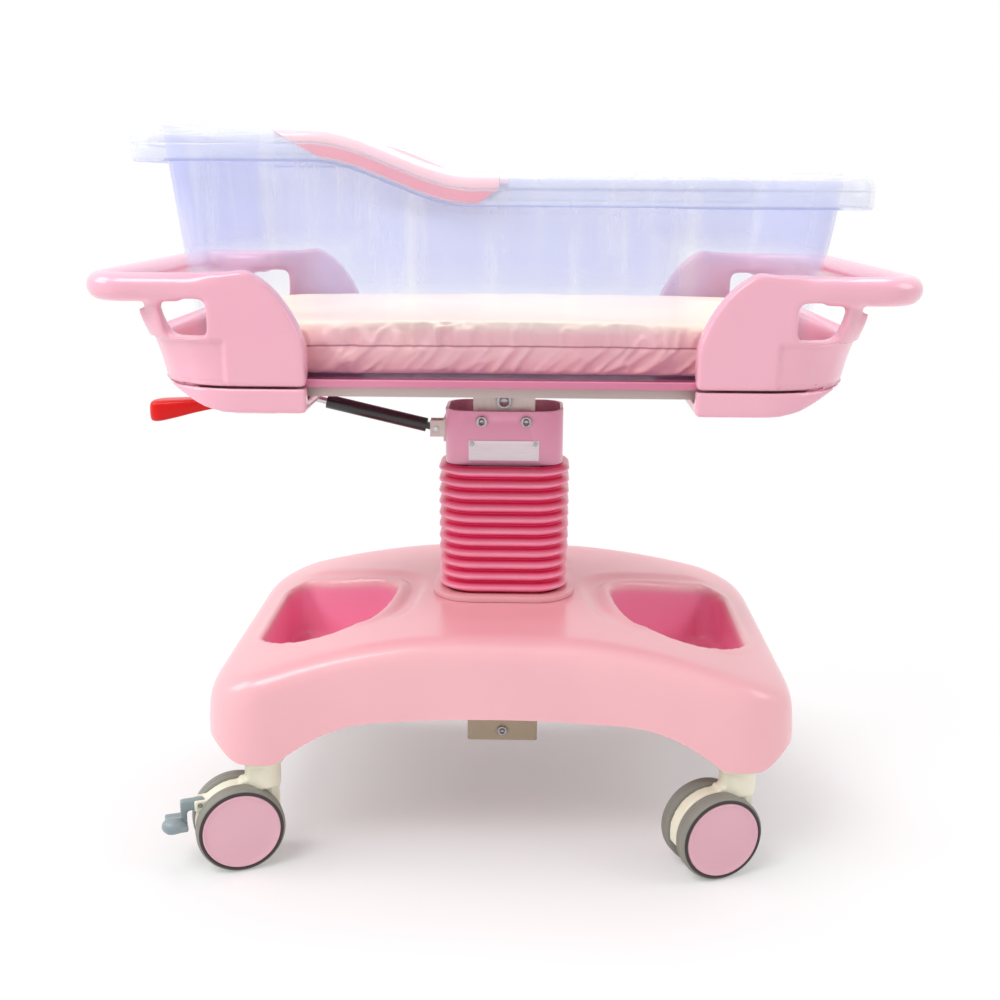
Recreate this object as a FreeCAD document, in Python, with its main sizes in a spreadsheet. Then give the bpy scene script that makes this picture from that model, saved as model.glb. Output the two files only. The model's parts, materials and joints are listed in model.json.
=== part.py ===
import FreeCAD, Part
import math
import os
import Sketcher
from FreeCAD import Placement, Rotation, Vector

# A hospital bassinet in millimetres. +Z is up, the head end is at -X, the near side is at -Y.
# The origin is on the floor under the middle of the column.

os.makedirs("parts", exist_ok=True)
doc = FreeCAD.newDocument("bassinet")
sheet = doc.addObject("Spreadsheet::Sheet", "Dims")


# ---------------------------------------------------------------- driving sizes

class Size:
    """A number together with the sheet expression that gives it."""

    def __init__(self, text, value):
        self.text = text
        self.value = value

    def __add__(self, other):
        return Size(f"({self.text} + {text_of(other)})", self.value + number(other))

    def __radd__(self, other):
        return self + other

    def __sub__(self, other):
        return Size(f"({self.text} - {text_of(other)})", self.value - number(other))

    def __rsub__(self, other):
        return Size(f"({other} - {self.text})", other - self.value)

    def __mul__(self, other):
        return Size(f"({self.text} * {text_of(other)})", self.value * number(other))

    def __rmul__(self, other):
        return self * other

    def __truediv__(self, other):
        return Size(f"({self.text} / {text_of(other)})", self.value / number(other))

    def __neg__(self):
        return Size(f"(0 - {self.text})", -self.value)


def number(size):
    return size.value if isinstance(size, Size) else size


def text_of(size):
    return size.text if isinstance(size, Size) else str(size)


class Sizes:
    """The sheet's values by name, one row for each."""

    def __init__(self, values):
        for row, (name, value) in enumerate(values.items(), start=1):
            sheet.set(f"A{row}", name)
            sheet.set(f"B{row}", str(value))
            sheet.setAlias(f"B{row}", name)
            setattr(self, name, Size("Dims." + name, value))


sizes = {
    # fits
    "fit_gap": 0.05,  # running fit, on the radius
    "seat_gap": 0.3,  # gap of a loose seat
    "past": 1,  # how far a cutter runs past a face
    # casters and pedals
    "wheel_radius": 50, "tyre_depth": 9, "wheel_width": 18, "wheel_gap": 22, "axle_radius": 5,
    "cap_dish": 1.5, "cap_edge": 3, "cap_thickness": 2.5, "caster_trail": 30, "caster_turn": 20,
    "caster_inset_x": 64, "caster_inset_y": 31, "fork_web": 20, "fork_radius": 37, "fork_neck": 26,
    "stem_boss_radius": 19, "stem_boss_height": 20, "stem_flange_radius": 25, "stem_flange_height": 6,
    "stem_flange_gap": 0.5, "stem_radius": 6, "stem_depth": 26, "stem_tip_gap": 1, "stem_hole_rise": 4,
    "pedal_pin_radius": 3, "pedal_reach": 42, "pedal_rise": 28, "pedal_arm": 14, "pedal_pad_drop": 24,
    "pedal_pad_start": 57, "pedal_pad_length": 24, "pedal_pad_width": 42, "pedal_pad_thickness": 6,
    # base cover and frame
    "base_under": 127, "base_half_length": 334, "base_half_width": 236, "base_waist": 209,
    "base_lobe_flat": 4.3, "base_lobe_radius": 60, "base_end_rise": 81, "base_crown_rise": 139,
    "base_crown_half": 92, "base_slope_bulge": 9, "base_arch_rise": 44.5, "base_arch_half": 250,
    "base_arch_flat": 130, "base_arch_shoulder": 12, "base_arch_bulge": 3,
    "base_wall": 4, "base_edge_radius": 24, "base_hole_half": 52, "basin_length": 64,
    "basin_inner_radius": 57, "basin_inset": 57, "basin_outer_y": 82, "basin_outer_radius": 28,
    "basin_floor_rise": 29, "frame_beam_half": 55, "frame_height": 18, "frame_cross_width": 44,
    "frame_cross_end": 1, "frame_wall": 5, "socket_radius": 15, "socket_height": 40,
    "cover_boss_gap": 55, "cover_boss_radius": 10, "cover_screw_radius": 3, "cover_screw_head": 6,
    "screw_head_height": 3, "cover_hole_depth": 20, "cover_screw_bite": 16,
    # column, bellows and collar
    "post_width": 74, "post_wall": 4, "post_length": 406, "post_rest": 11, "bush_wall": 3,
    "bush_height": 30, "tube_wall": 4, "tube_gap": 8, "bush_spread": 102, "foot_drop": 52,
    "foot_height": 30, "foot_width": 88, "foot_corner": 4, "foot_bolt_radius": 6, "foot_bolt_head": 4,
    "foot_bolt_rise": 13.5, "foot_bolt_depth": 16, "ring_rise": 8, "bellows_margin_x": 8.5,
    "bellows_margin_y": 15, "bellows_corner": 42, "bellows_valley": 7, "bellows_wall": 3,
    "bellows_ridges": 11, "bellows_crest": 1.4, "bellows_band": 8.6, "bellows_crest_band": 4.9,
    "ring_margin": 8, "collar_drop": 90, "collar_height": 65, "collar_half_x": 71, "collar_half_y": 46,
    "collar_corner": 26, "collar_wall": 3.5, "collar_pad_half": 33.3, "collar_screw_x": 26.5,
    "collar_screw_drop": 12, "collar_screw_radius": 3, "collar_screw_head": 6.5, "plate_width": 84,
    "plate_height": 24, "plate_rise": 6, "plate_thickness": 0.8, "rivet_radius": 1.6, "rivet_head": 2.7,
    "rivet_head_height": 1, "rivet_inset": 4, "spring_tube_radius": 14, "spring_rod_radius": 5,
    "spring_tube_length": 233, "post_shelf_drop": 42, "post_shelf_thickness": 6, "spring_rod_rise": 20,
    "spring_bore_rise": 10,
    # tilt bracket, deck frame and tray
    "pivot_drop": 13, "pivot_radius": 6, "pivot_head": 9, "pivot_head_height": 5, "tilt_cheek": 5,
    "tilt_bracket_half": 22, "deck_gap": 18, "rail_width": 25, "rail_height": 12,
    "frame_half_length": 320, "frame_half_width": 205, "centre_rail_x": 40, "tray_margin_x": 20,
    "tray_margin_y": 17, "tray_thickness": 4, "tray_lip": 8, "tray_lip_wall": 6, "tray_corner": 32,
    # end housings and handles
    "housing_length": 156, "housing_drop": 13.5, "housing_joint_rise": 2, "housing_rise": 123,
    "housing_margin_y": 18, "housing_margin_x": 17, "housing_flare": 28, "housing_corner": 45,
    "housing_side_wall": 26, "housing_end_wall": 12, "housing_shell": 5, "keel_flat": 69,
    "keel_bulge": 7, "shoulder_rise": 42, "shoulder_run": 61, "shoulder_bulge": 10, "window_rise": 51,
    "window_height": 39, "window_width": 41, "window_edge": 15, "post_lean": 7, "window_side": 60,
    "housing_slot_half": 60, "housing_slot_wall": 19, "housing_screw_edge": 14,
    "housing_screw_pitch": 43, "housing_screw_radius": 2.5, "handle_radius": 15, "handle_gap": 21,
    "handle_rise": 11, "handle_bend": 38, "handle_seat": 27,
    # tub, rim strips and mattress
    "tub_gap_x": 12, "tub_gap_y": 13, "tub_lean_x": 27, "tub_lean_y": 13, "tub_floor_corner": 52,
    "tub_wall_corner": 62, "tub_wall": 4, "rim_width_x": 25, "rim_width_y": 19, "rim_corner": 78,
    "rim_step": 44, "tub_depth": 210.7, "rim_depth": 30, "rim_slope_start": 190,
    "rim_slope_length": 163, "strip_thickness": 2.2, "strip_lead": 38, "strip_length": 226,
    "strip_drop": 21, "strip_inset": 1, "mattress_gap_x": 8, "mattress_gap_y": 7, "mattress_height": 58,
    "mattress_corner": 40,
    # tilt spring and release lever
    "spring_foot_gap": 13, "spring_foot_rise": 37, "spring_end_inset": 30, "spring_end_rise": 8,
    "spring_radius": 8.5, "spring_bore": 4.1, "rod_radius": 4, "spring_length": 125, "spring_eye": 7,
    "clevis_gap": 13, "clevis_plate": 3.5, "clevis_half": 10, "clevis_base": 3,
    "clevis_base_half": 18.2, "clevis_base_rise": 14, "clevis_tip": 7, "spring_neck": 5,
    "spring_neck_half": 4, "spring_bore_wall": 8, "rod_start": 57, "pin_radius": 3, "pin_end": 1,
    "release_play": 3.5, "release_eye": 11.5, "release_neck": 6, "release_half_height": 6.9,
    "release_width": 13, "release_plate": 4, "release_plate_start": 12, "release_plate_drop": 9,
    "lever_pin_gap": 26, "lever_pin_drop": 22, "lever_eye": 6.6, "lever_thickness": 6,
    "lever_reach": 38, "grip_length": 82, "grip_width": 34, "grip_thickness": 16, "grip_narrow": 10.2,
    "grip_tip": 13.6, "grip_mouth": 20,
}

S = Sizes(sizes)

# plan of the base
S.caster_x = S.base_half_length - S.caster_inset_x
S.caster_y = S.base_half_width - S.caster_inset_y
S.basin_outer_x = S.base_half_length - S.basin_inset
S.basin_inner_x = S.basin_outer_x - S.basin_length
S.frame_cross_half = S.caster_y + S.socket_radius + S.frame_cross_end
S.cover_boss_y = S.caster_y - S.cover_boss_gap
# heights of the base and the column
S.base_end_top = S.base_under + S.base_end_rise
S.base_crown_top = S.base_under + S.base_crown_rise
S.basin_floor = S.base_under + S.basin_floor_rise
S.foot_bottom = S.base_under - S.foot_drop
S.post_bottom = S.foot_bottom + S.foot_height + S.post_rest
S.post_top = S.post_bottom + S.post_length
S.spring_tube_top = S.foot_bottom + S.foot_height + S.spring_tube_length
S.bellows_bottom = S.base_crown_top + S.ring_rise
S.collar_bottom = S.post_top - S.collar_drop
S.tube_top = S.collar_bottom - S.tube_gap
S.lower_bush_z = S.tube_top - S.bush_spread
# widths of the bellows
S.bellows_half_x = S.collar_half_x + S.bellows_margin_x
S.bellows_half_y = S.collar_half_y + S.bellows_margin_y
# heights of the deck and the tub
S.deck_under = S.post_top + S.deck_gap
S.housing_under = S.deck_under - S.housing_drop
S.housing_joint = S.deck_under + S.rail_height + S.housing_joint_rise
S.housing_top = S.housing_joint + S.housing_rise
S.shoulder_z = S.housing_joint + S.shoulder_rise
S.window_low = S.housing_joint + S.window_rise
S.window_high = S.window_low + S.window_height
S.handle_z = S.window_high + S.handle_rise
S.rim_low = S.deck_under + S.rail_height + S.tray_thickness + S.seat_gap + S.tub_depth
S.rim_high = S.rim_low + S.rim_step
# plan of the deck, from the frame outward
S.tray_half_length = S.frame_half_length + S.tray_margin_x
S.tray_half_width = S.frame_half_width + S.tray_margin_y
S.housing_half_length = S.tray_half_length + S.housing_margin_x
S.housing_half_width = S.tray_half_width + S.housing_margin_y
S.housing_gap_half = S.housing_half_length - S.housing_length
S.window_outer = S.housing_half_length - S.window_edge
S.window_inner = S.window_outer - S.window_width
S.post_inner = S.window_outer + S.post_lean
S.window_half_y = S.housing_half_width - S.window_side
S.handle_start = S.housing_half_length - S.handle_seat
S.handle_reach = S.housing_half_length + S.housing_flare + S.handle_gap + S.handle_radius * 2
S.housing_slot_end = S.housing_half_length - S.housing_slot_wall
S.keel_start = S.housing_gap_half + S.keel_flat
S.shoulder_x = S.housing_gap_half + S.shoulder_run
S.housing_screw_x = S.housing_gap_half + S.housing_screw_edge
S.housing_screw_y = S.frame_half_width - S.rail_width / 2
# plan of the tub and the mattress
S.tub_floor_half_x = S.tray_half_length - S.tray_lip_wall - S.tub_gap_x
S.tub_floor_half_y = S.tray_half_width - S.tray_lip_wall - S.tub_gap_y
S.tub_wall_half_x = S.tub_floor_half_x + S.tub_lean_x
S.tub_wall_half_y = S.tub_floor_half_y + S.tub_lean_y
S.rim_half_x = S.tub_wall_half_x + S.rim_width_x
S.rim_half_y = S.tub_wall_half_y + S.rim_width_y
S.strip_start = S.rim_slope_start + S.strip_lead
S.strip_inner = S.tub_wall_half_y + S.strip_inset
S.mattress_half_x = S.tub_floor_half_x - S.tub_wall - S.mattress_gap_x
S.mattress_half_y = S.tub_floor_half_y - S.tub_wall - S.mattress_gap_y
# places of the tilt spring
S.spring_foot_x = S.collar_half_x + S.spring_foot_gap
S.spring_foot_z = S.collar_bottom + S.spring_foot_rise
S.spring_end_x = S.frame_half_length - S.spring_end_inset
S.lever_pin_x = S.spring_end_x + S.lever_pin_gap

doc.recompute()


# ---------------------------------------------------------------- makers

def bind(obj, prop, size):
    """Set a property, and tie it to the sheet where it comes from there."""
    if "." not in prop:
        setattr(obj, prop, number(size))
    if isinstance(size, Size):
        obj.setExpression(prop, size.text)


def put(obj, x=0, y=0, z=0, turn=None):
    obj.Placement = Placement(Vector(number(x), number(y), number(z)), turn or Rotation())
    for axis, place in (("x", x), ("y", y), ("z", z)):
        bind(obj, "Placement.Base." + axis, place)
    return obj


def box(name, x, y, z):
    """A block between two values on each axis."""
    obj = doc.addObject("Part::Box", name)
    for prop, span in (("Length", x), ("Width", y), ("Height", z)):
        bind(obj, prop, span[1] - span[0])
    return put(obj, x[0], y[0], z[0])


along = {"X": Rotation(Vector(0, 1, 0), 90), "Y": Rotation(Vector(1, 0, 0), -90), "Z": Rotation()}


def bar(name, radius, length, x, y, z, axis="Z"):
    """A cylinder that starts at a point and runs along an axis."""
    obj = doc.addObject("Part::Cylinder", name)
    bind(obj, "Radius", radius)
    bind(obj, "Height", length)
    return put(obj, x, y, z, along[axis])


def cross_bar(name, radius, half, x, z):
    """A cylinder across the part, centred on y = 0."""
    return bar(name, radius, half * 2, x, -half, z, "Y")


def group(kind, name, pieces):
    obj = doc.addObject(kind, name)
    if kind == "Part::Compound":
        obj.Links = pieces
    else:
        obj.Shapes = pieces
    return obj


def fuse(name, *pieces):
    obj = group("Part::MultiFuse", name, list(pieces))
    obj.Refine = True
    return obj


def common(name, *pieces):
    return group("Part::MultiCommon", name, list(pieces))


def gather(name, *pieces):
    """Separate solids in one object."""
    return group("Part::Compound", name, list(pieces))


def cut(name, base, *tools):
    obj = doc.addObject("Part::Cut", name)
    obj.Base = base
    obj.Tool = tools[0] if len(tools) == 1 else fuse(name + "_tools", *tools)
    return obj


def mirrored(name, source, normal):
    obj = doc.addObject("Part::Mirroring", name)
    obj.Source = source
    obj.Normal = normal
    return obj


def feature(name, shape, placement=None):
    """A shape that was worked out here from the sheet's values."""
    obj = doc.addObject("Part::Feature", name)
    obj.Shape = shape
    if placement:
        obj.Placement = placement
    return obj


def origin_plane(body, role):
    return [item for item in body.Origin.OriginFeatures if item.Role == role][0]


def sketch(body, name, role, offset=0):
    """A sketch on one of the body's own origin planes."""
    obj = body.newObject("Sketcher::SketchObject", name)
    obj.AttachmentSupport = [(origin_plane(body, role), "")]
    obj.MapMode = "FlatFace"
    bind(obj, "AttachmentOffset.Base.z", offset)
    return obj


def outline(obj, points):
    """A closed polygon whose corners are tied to the sheet."""
    count = len(points)
    for index, start in enumerate(points):
        end = points[(index + 1) % count]
        line = Part.LineSegment(Vector(number(start[0]), number(start[1]), 0),
                                Vector(number(end[0]), number(end[1]), 0))
        obj.addGeometry(line, False)
    for index in range(count):
        obj.addConstraint(Sketcher.Constraint("Coincident", index, 2, (index + 1) % count, 1))
    for index, corner in enumerate(points):
        for kind, axis, place in (("DistanceX", -2, corner[0]), ("DistanceY", -1, corner[1])):
            tie_corner(obj, index, kind, axis, place)


def tie_corner(obj, index, kind, axis, place):
    """Hold one corner's distance from an axis; zero puts it on the axis."""
    if abs(number(place)) < 1e-9:
        obj.addConstraint(Sketcher.Constraint("PointOnObject", index, 1, axis))
        return
    ends = (-1, 1, index, 1) if number(place) > 0 else (index, 1, -1, 1)
    where = obj.addConstraint(Sketcher.Constraint(kind, *ends, abs(number(place))))
    if isinstance(place, Size):
        shown = place if number(place) > 0 else -place
        obj.setExpression(f"Constraints[{where}]", shown.text)


def rectangle(x, y):
    return [(-x, -y), (x, -y), (x, y), (-x, y)]


def body_of(name):
    return doc.addObject("PartDesign::Body", name)


def pad(body, name, profile, length):
    obj = body.newObject("PartDesign::Pad", name)
    obj.Profile = profile
    bind(obj, "Length", length)
    return obj


def pocket(body, name, profile, length, reverse):
    obj = body.newObject("PartDesign::Pocket", name)
    obj.Profile = profile
    bind(obj, "Length", length)
    obj.Reversed = reverse
    return obj


def revolve(body, name, profile):
    """A full turn of the profile about the sketch's upright axis."""
    obj = body.newObject("PartDesign::Revolution", name)
    obj.Profile = profile
    obj.ReferenceAxis = (profile, ["V_Axis"])
    obj.Angle = 360
    return obj


def upright_edges(shape, low, high):
    """Names of the edges that run from one height to another straight up."""
    names = []
    for index, edge in enumerate(shape.Edges):
        bounds = edge.BoundBox
        flat = bounds.XLength < 1e-3 and bounds.YLength < 1e-3
        if flat and abs(bounds.ZMin - low) < 1e-3 and abs(bounds.ZMax - high) < 1e-3:
            names.append(f"Edge{index + 1}")
    return names


def round_edges(body, name, base, names, radius):
    obj = body.newObject("PartDesign::Fillet", name)
    obj.Base = (base, names)
    bind(obj, "Radius", radius)
    return obj


def block_body(name, half_x, half_y, low, height, corner):
    """A rounded block as a body: a pad with its upright edges rounded."""
    body = body_of(name)
    plan = sketch(body, name + "_plan", "XY_Plane", low)
    outline(plan, rectangle(half_x, half_y))
    solid = pad(body, name + "_pad", plan, height)
    doc.recompute()
    names = upright_edges(solid.Shape, number(low), number(low + height))
    round_edges(body, name + "_corners", solid, names, corner)
    return body


def hull_wire(circles, z=0.0):
    """The outline round circles (x, y, radius) that are listed counterclockwise."""
    normals = []
    for index, (x0, y0, r0) in enumerate(circles):
        x1, y1, r1 = circles[(index + 1) % len(circles)]
        length = math.hypot(x1 - x0, y1 - y0)
        lean = (r0 - r1) / length
        side = math.sqrt(1 - lean * lean)
        normals.append(((lean * (x1 - x0) + side * (y1 - y0)) / length,
                        (lean * (y1 - y0) - side * (x1 - x0)) / length))
    edges = []
    for index, (x, y, radius) in enumerate(circles):
        before = math.atan2(normals[index - 1][1], normals[index - 1][0])
        after = math.atan2(normals[index][1], normals[index][0])
        if after < before:
            after += 2 * math.pi
        turn = [Vector(x + radius * math.cos(a), y + radius * math.sin(a), z)
                for a in (before, (before + after) / 2, after)]
        if radius > 0:
            edges.append(Part.Arc(*turn).toShape())
        x1, y1, r1 = circles[(index + 1) % len(circles)]
        ahead = Vector(x1 + r1 * normals[index][0], y1 + r1 * normals[index][1], z)
        edges.append(Part.LineSegment(turn[2], ahead).toShape())
    return Part.Wire(edges)


def round_rectangle(half_x, half_y, corner, z=0.0):
    x = half_x - corner
    y = half_y - corner
    return hull_wire([(x, -y, corner), (x, y, corner), (-x, y, corner), (-x, -y, corner)], z)


def prism(wire, height):
    return Part.Face(wire).extrude(Vector(0, 0, height))


class SidePath:
    """A closed outline in the XZ plane, drawn from point to point."""

    def __init__(self, x, z):
        self.first = Vector(x, 0, z)
        self.last = self.first
        self.edges = []

    def line(self, x, z):
        end = Vector(x, 0, z)
        if (end - self.last).Length > 1e-6:
            self.edges.append(Part.LineSegment(self.last, end).toShape())
            self.last = end
        return self

    def arc(self, x, z, bulge):
        """An arc whose middle stands off the chord by the bulge, to the left of its way."""
        end = Vector(x, 0, z)
        chord = end - self.last
        side = Vector(-chord.z, 0, chord.x).normalize() * bulge
        self.edges.append(Part.Arc(self.last, self.last + chord * 0.5 + side, end).toShape())
        self.last = end
        return self

    def ogee(self, x, z):
        """Two equal arcs that leave and arrive level."""
        run = x - self.last.x
        rise = z - self.last.z
        bulge = math.hypot(run, rise) / 4 * math.tan(math.atan2(abs(rise), abs(run)) / 2)
        turn = bulge if run * rise < 0 else -bulge
        self.arc(self.last.x + run / 2, self.last.z + rise / 2, turn)
        return self.arc(x, z, -turn)

    def solid(self, half_width):
        if (self.last - self.first).Length > 1e-6:
            self.line(self.first.x, self.first.z)
        face = Part.Face(Part.Wire(self.edges))
        face.translate(Vector(0, -half_width, 0))
        return face.extrude(Vector(0, 2 * half_width, 0))


def block(x0, x1, y0, y1, z0, z1):
    return Part.makeBox(x1 - x0, y1 - y0, z1 - z0, Vector(x0, y0, z0))


nodes = []


def node(name, obj):
    """Keep an object as a sub-part under its own name."""
    obj.Label = name
    nodes.append(obj)
    return obj


# ---------------------------------------------------------------- casters

axle_z = S.wheel_radius
fork_half = S.fork_web / 2
wheel_inner = S.wheel_gap / 2
wheel_outer = wheel_inner + S.wheel_width
boss_top = S.base_under - S.stem_flange_gap
boss_low = boss_top - S.stem_flange_height - S.stem_boss_height
hub_radius = S.wheel_radius - S.tyre_depth
pedal_x = -S.caster_trail - S.pedal_reach
pedal_z = axle_z + S.pedal_rise

casters = {
    "head_near": (-1, -1),
    "head_far": (-1, 1),
    "foot_near": (1, -1),
    "foot_far": (1, 1),
}
braked = ("head_near", "foot_far")


def caster_place(obj, side_x, side_y):
    """Stand a caster under its stem with its wheels trailing toward the head and outward."""
    turn = Rotation(Vector(0, 0, 1), -side_y * number(S.caster_turn))
    return put(obj, S.caster_x * side_x, S.caster_y * side_y, 0, turn)


def fork(name, side_x, side_y, with_brake):
    parts = [
        bar(name + "_web", S.fork_radius, S.fork_web, -S.caster_trail, -fork_half, axle_z, "Y"),
        box(name + "_neck", (-S.fork_neck, S.stem_boss_radius / 2), (-fork_half, fork_half),
            (axle_z, boss_low + S.past)),
        bar(name + "_boss", S.stem_boss_radius, S.stem_boss_height, 0, 0, boss_low),
        bar(name + "_flange", S.stem_flange_radius, S.stem_flange_height, 0, 0,
            boss_low + S.stem_boss_height),
    ]
    holes = [
        cross_bar(name + "_axle_hole", S.axle_radius + S.fit_gap, S.fork_web, -S.caster_trail, axle_z),
        bar(name + "_stem_hole", S.stem_radius + S.fit_gap, S.stem_depth, 0, 0,
            boss_top - S.stem_depth + S.stem_hole_rise),
    ]
    if with_brake:
        parts.append(box(name + "_brake_arm", (pedal_x - S.pedal_arm / 2, -S.caster_trail),
                         (-fork_half, fork_half), (pedal_z - S.pedal_arm / 2, pedal_z + S.pedal_arm / 2)))
        holes.append(box(name + "_brake_slot", (pedal_x - S.pedal_arm, pedal_x + S.pedal_arm),
                         (-fork_half / 2 - S.seat_gap, fork_half / 2 + S.seat_gap),
                         (pedal_z - S.pedal_arm, pedal_z + S.pedal_arm)))
        holes.append(cross_bar(name + "_pedal_hole", S.pedal_pin_radius + S.fit_gap, S.fork_web,
                               pedal_x, pedal_z))
    solid = cut(name + "_solid", fuse(name + "_shape", *parts), *holes)
    return caster_place(solid, side_x, side_y)


def ring_body(name, profile):
    """A turned piece: the profile holds radius and distance along its axis."""
    body = body_of(name)
    plan = sketch(body, name + "_profile", "XZ_Plane")
    outline(plan, profile)
    revolve(body, name + "_turn", plan)
    return body


def wheel_pair(name, profile, side_x, side_y):
    """Two turned pieces that face outward on the axle."""
    pair = []
    for index, facing in enumerate((-90, 90)):
        body = ring_body(f"{name}_{index}", profile)
        pair.append(put(body, -S.caster_trail, 0, axle_z, Rotation(Vector(1, 0, 0), facing)))
    return caster_place(gather(name + "_pair", *pair), side_x, side_y)


hub_bore = S.axle_radius + S.fit_gap
axle_half = wheel_outer - S.cap_thickness - S.seat_gap * 2
hub_profile = [
    (hub_bore, wheel_inner),
    (hub_radius, wheel_inner),
    (hub_radius, wheel_outer - S.cap_edge / 2),
    (hub_radius - S.cap_edge, wheel_outer + S.cap_edge / 4),
    (hub_radius - S.cap_edge * 3, wheel_outer - S.cap_dish / 2),
    (0, wheel_outer - S.cap_dish / 4),
    (0, axle_half + S.seat_gap),
    (hub_bore, axle_half + S.seat_gap),
]
tyre_profile = [
    (hub_radius, wheel_inner),
    (S.wheel_radius - S.cap_edge, wheel_inner),
    (S.wheel_radius, wheel_inner + S.cap_edge),
    (S.wheel_radius, wheel_outer - S.cap_edge),
    (S.wheel_radius - S.cap_edge, wheel_outer),
    (hub_radius, wheel_outer - S.cap_edge / 2),
]


def brake_pedal(name, side_x, side_y):
    pad_x = -S.caster_trail - S.pedal_pad_start
    pad_low = pedal_z - S.pedal_pad_drop
    arm_half = fork_half / 2 - S.seat_gap / 2
    end_z = pad_low + S.pedal_pad_thickness
    parts = [
        bar(name + "_eye", S.pedal_arm / 2, arm_half * 2, pedal_x, -arm_half, pedal_z, "Y"),
        box(name + "_arm", (pad_x - S.pedal_arm / 2, pedal_x), (-arm_half, arm_half),
            (pedal_z - S.pedal_arm / 2, pedal_z + S.pedal_arm / 2)),
        box(name + "_drop", (pad_x - S.pedal_arm / 2, pad_x), (-arm_half, arm_half),
            (pad_low, pedal_z)),
        box(name + "_pad", (pad_x - S.pedal_pad_length, pad_x),
            (-S.pedal_pad_width / 2, S.pedal_pad_width / 2), (pad_low, end_z)),
    ]
    pin = cross_bar(name + "_pin", S.pedal_pin_radius, fork_half, pedal_x, pedal_z)
    return caster_place(fuse(name + "_solid", *parts, pin), side_x, side_y)


stems = []
for corner, (side_x, side_y) in casters.items():
    name = "caster_" + corner
    node(name + "_fork", fork(name + "_fork", side_x, side_y, corner in braked))
    axle = cross_bar(name + "_axle_rod", S.axle_radius, axle_half, -S.caster_trail, axle_z)
    node(name + "_axle", caster_place(gather(name + "_axle_set", axle), side_x, side_y))
    node(name + "_hubs", wheel_pair(name + "_hubs", hub_profile, side_x, side_y))
    node(name + "_tyres", wheel_pair(name + "_tyres", tyre_profile, side_x, side_y))
    if corner in braked:
        node("brake_pedal_" + corner, brake_pedal("brake_pedal_" + corner, side_x, side_y))
    stem_low = boss_top - S.stem_depth + S.stem_hole_rise + S.stem_tip_gap
    stems.append(bar(name + "_stem", S.stem_radius, S.base_under + S.socket_height - stem_low,
                     S.caster_x * side_x, S.caster_y * side_y, stem_low))
node("caster_stems", gather("caster_stem_set", *stems))


# ---------------------------------------------------------------- base

tube_inner = S.post_width / 2 + S.bush_wall + S.fit_gap
tube_outer = tube_inner + S.tube_wall
frame_top = S.base_under + S.frame_height
lobe_inner_x = S.base_half_length - S.base_lobe_radius - S.base_lobe_flat
waist_step = S.base_half_width - S.base_lobe_radius - S.base_waist  # from the waist to the lobes' centres
side_square = lobe_inner_x * lobe_inner_x + waist_step * waist_step - S.base_lobe_radius * S.base_lobe_radius
side_radius = side_square / ((waist_step + S.base_lobe_radius) * 2)
side_centre = S.base_waist + side_radius


def base_outline(inset, z):
    """Four round lobes joined by two straight ends and two hollow long sides."""
    length = number(S.base_half_length) - inset
    width = number(S.base_half_width) - inset
    lobe = number(S.base_lobe_radius) - inset
    hollow = number(side_radius) + inset
    centre_y = number(side_centre)
    corner_x = length - lobe
    lobe_y = width - lobe
    inner_x = number(lobe_inner_x)
    share = hollow / (hollow + lobe)
    touch = Vector(inner_x * share, centre_y - (centre_y - lobe_y) * share, z)

    def at(x, y):
        return Vector(x, y, z)

    def quarter(side_x, side_y):
        diagonal = lobe * math.sqrt(0.5)
        corner = [at(side_x * length, side_y * lobe_y),
                  at(side_x * (corner_x + diagonal), side_y * (lobe_y + diagonal)),
                  at(side_x * corner_x, side_y * width)]
        flat = [corner[2], at(side_x * inner_x, side_y * width)]
        away = math.atan2(touch.y - lobe_y, touch.x - inner_x)
        middle = (math.pi / 2 + away) / 2
        half_way = Vector(inner_x + lobe * math.cos(middle), lobe_y + lobe * math.sin(middle), z)
        roll = [flat[1], at(side_x * half_way.x, side_y * half_way.y), at(side_x * touch.x, side_y * touch.y)]
        return corner, flat, roll

    edges = []
    for side_y in (1, -1):
        for side_x in (1, -1):
            corner, flat, roll = quarter(side_x, side_y)
            edges.append(Part.Arc(*corner).toShape())
            edges.append(Part.LineSegment(*flat).toShape())
            edges.append(Part.Arc(*roll).toShape())
        ends = [at(side_x * touch.x, side_y * touch.y) for side_x in (1, -1)]
        waist = Vector(0, side_y * (centre_y - hollow), z)
        edges.append(Part.Arc(ends[0], waist, ends[1]).toShape())
    for side_x in (1, -1):
        edges.append(Part.LineSegment(at(side_x * length, -lobe_y), at(side_x * length, lobe_y)).toShape())
    return Part.Wire(Part.__sortEdges__(edges))


def base_side(inset, floor):
    """The side view: a level crown that slopes to both ends, and an arch underneath."""
    reach = number(S.base_half_length + S.past)
    crown = number(S.base_crown_half)
    slope = number(S.base_slope_bulge)
    top = number(S.base_crown_top) - inset
    end = number(S.base_end_top) - inset
    arch = number(S.base_arch_half)
    flat = number(S.base_arch_flat)
    high = floor + number(S.base_arch_rise)
    shoulder = -number(S.base_arch_shoulder)
    path = SidePath(-reach, end).arc(-crown, top, slope).line(crown, top).arc(reach, end, slope)
    path.line(reach, floor).line(arch, floor).arc(flat, high, shoulder)
    path.arc(-flat, high, -number(S.base_arch_bulge)).arc(-arch, floor, shoulder).line(-reach, floor)
    return path.solid(reach)


def top_edges(shape):
    """The edges between the upright sides and the top."""
    found = []
    middle = number(S.base_under + S.base_arch_rise + S.base_end_top) / 2
    for edge in shape.Edges:
        if edge.BoundBox.ZMin > middle:
            faces = [face for face in shape.Faces if any(edge.isSame(other) for other in face.Edges)]
            if any(face.BoundBox.ZMin < middle for face in faces):
                found.append(edge)
    return found


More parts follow.
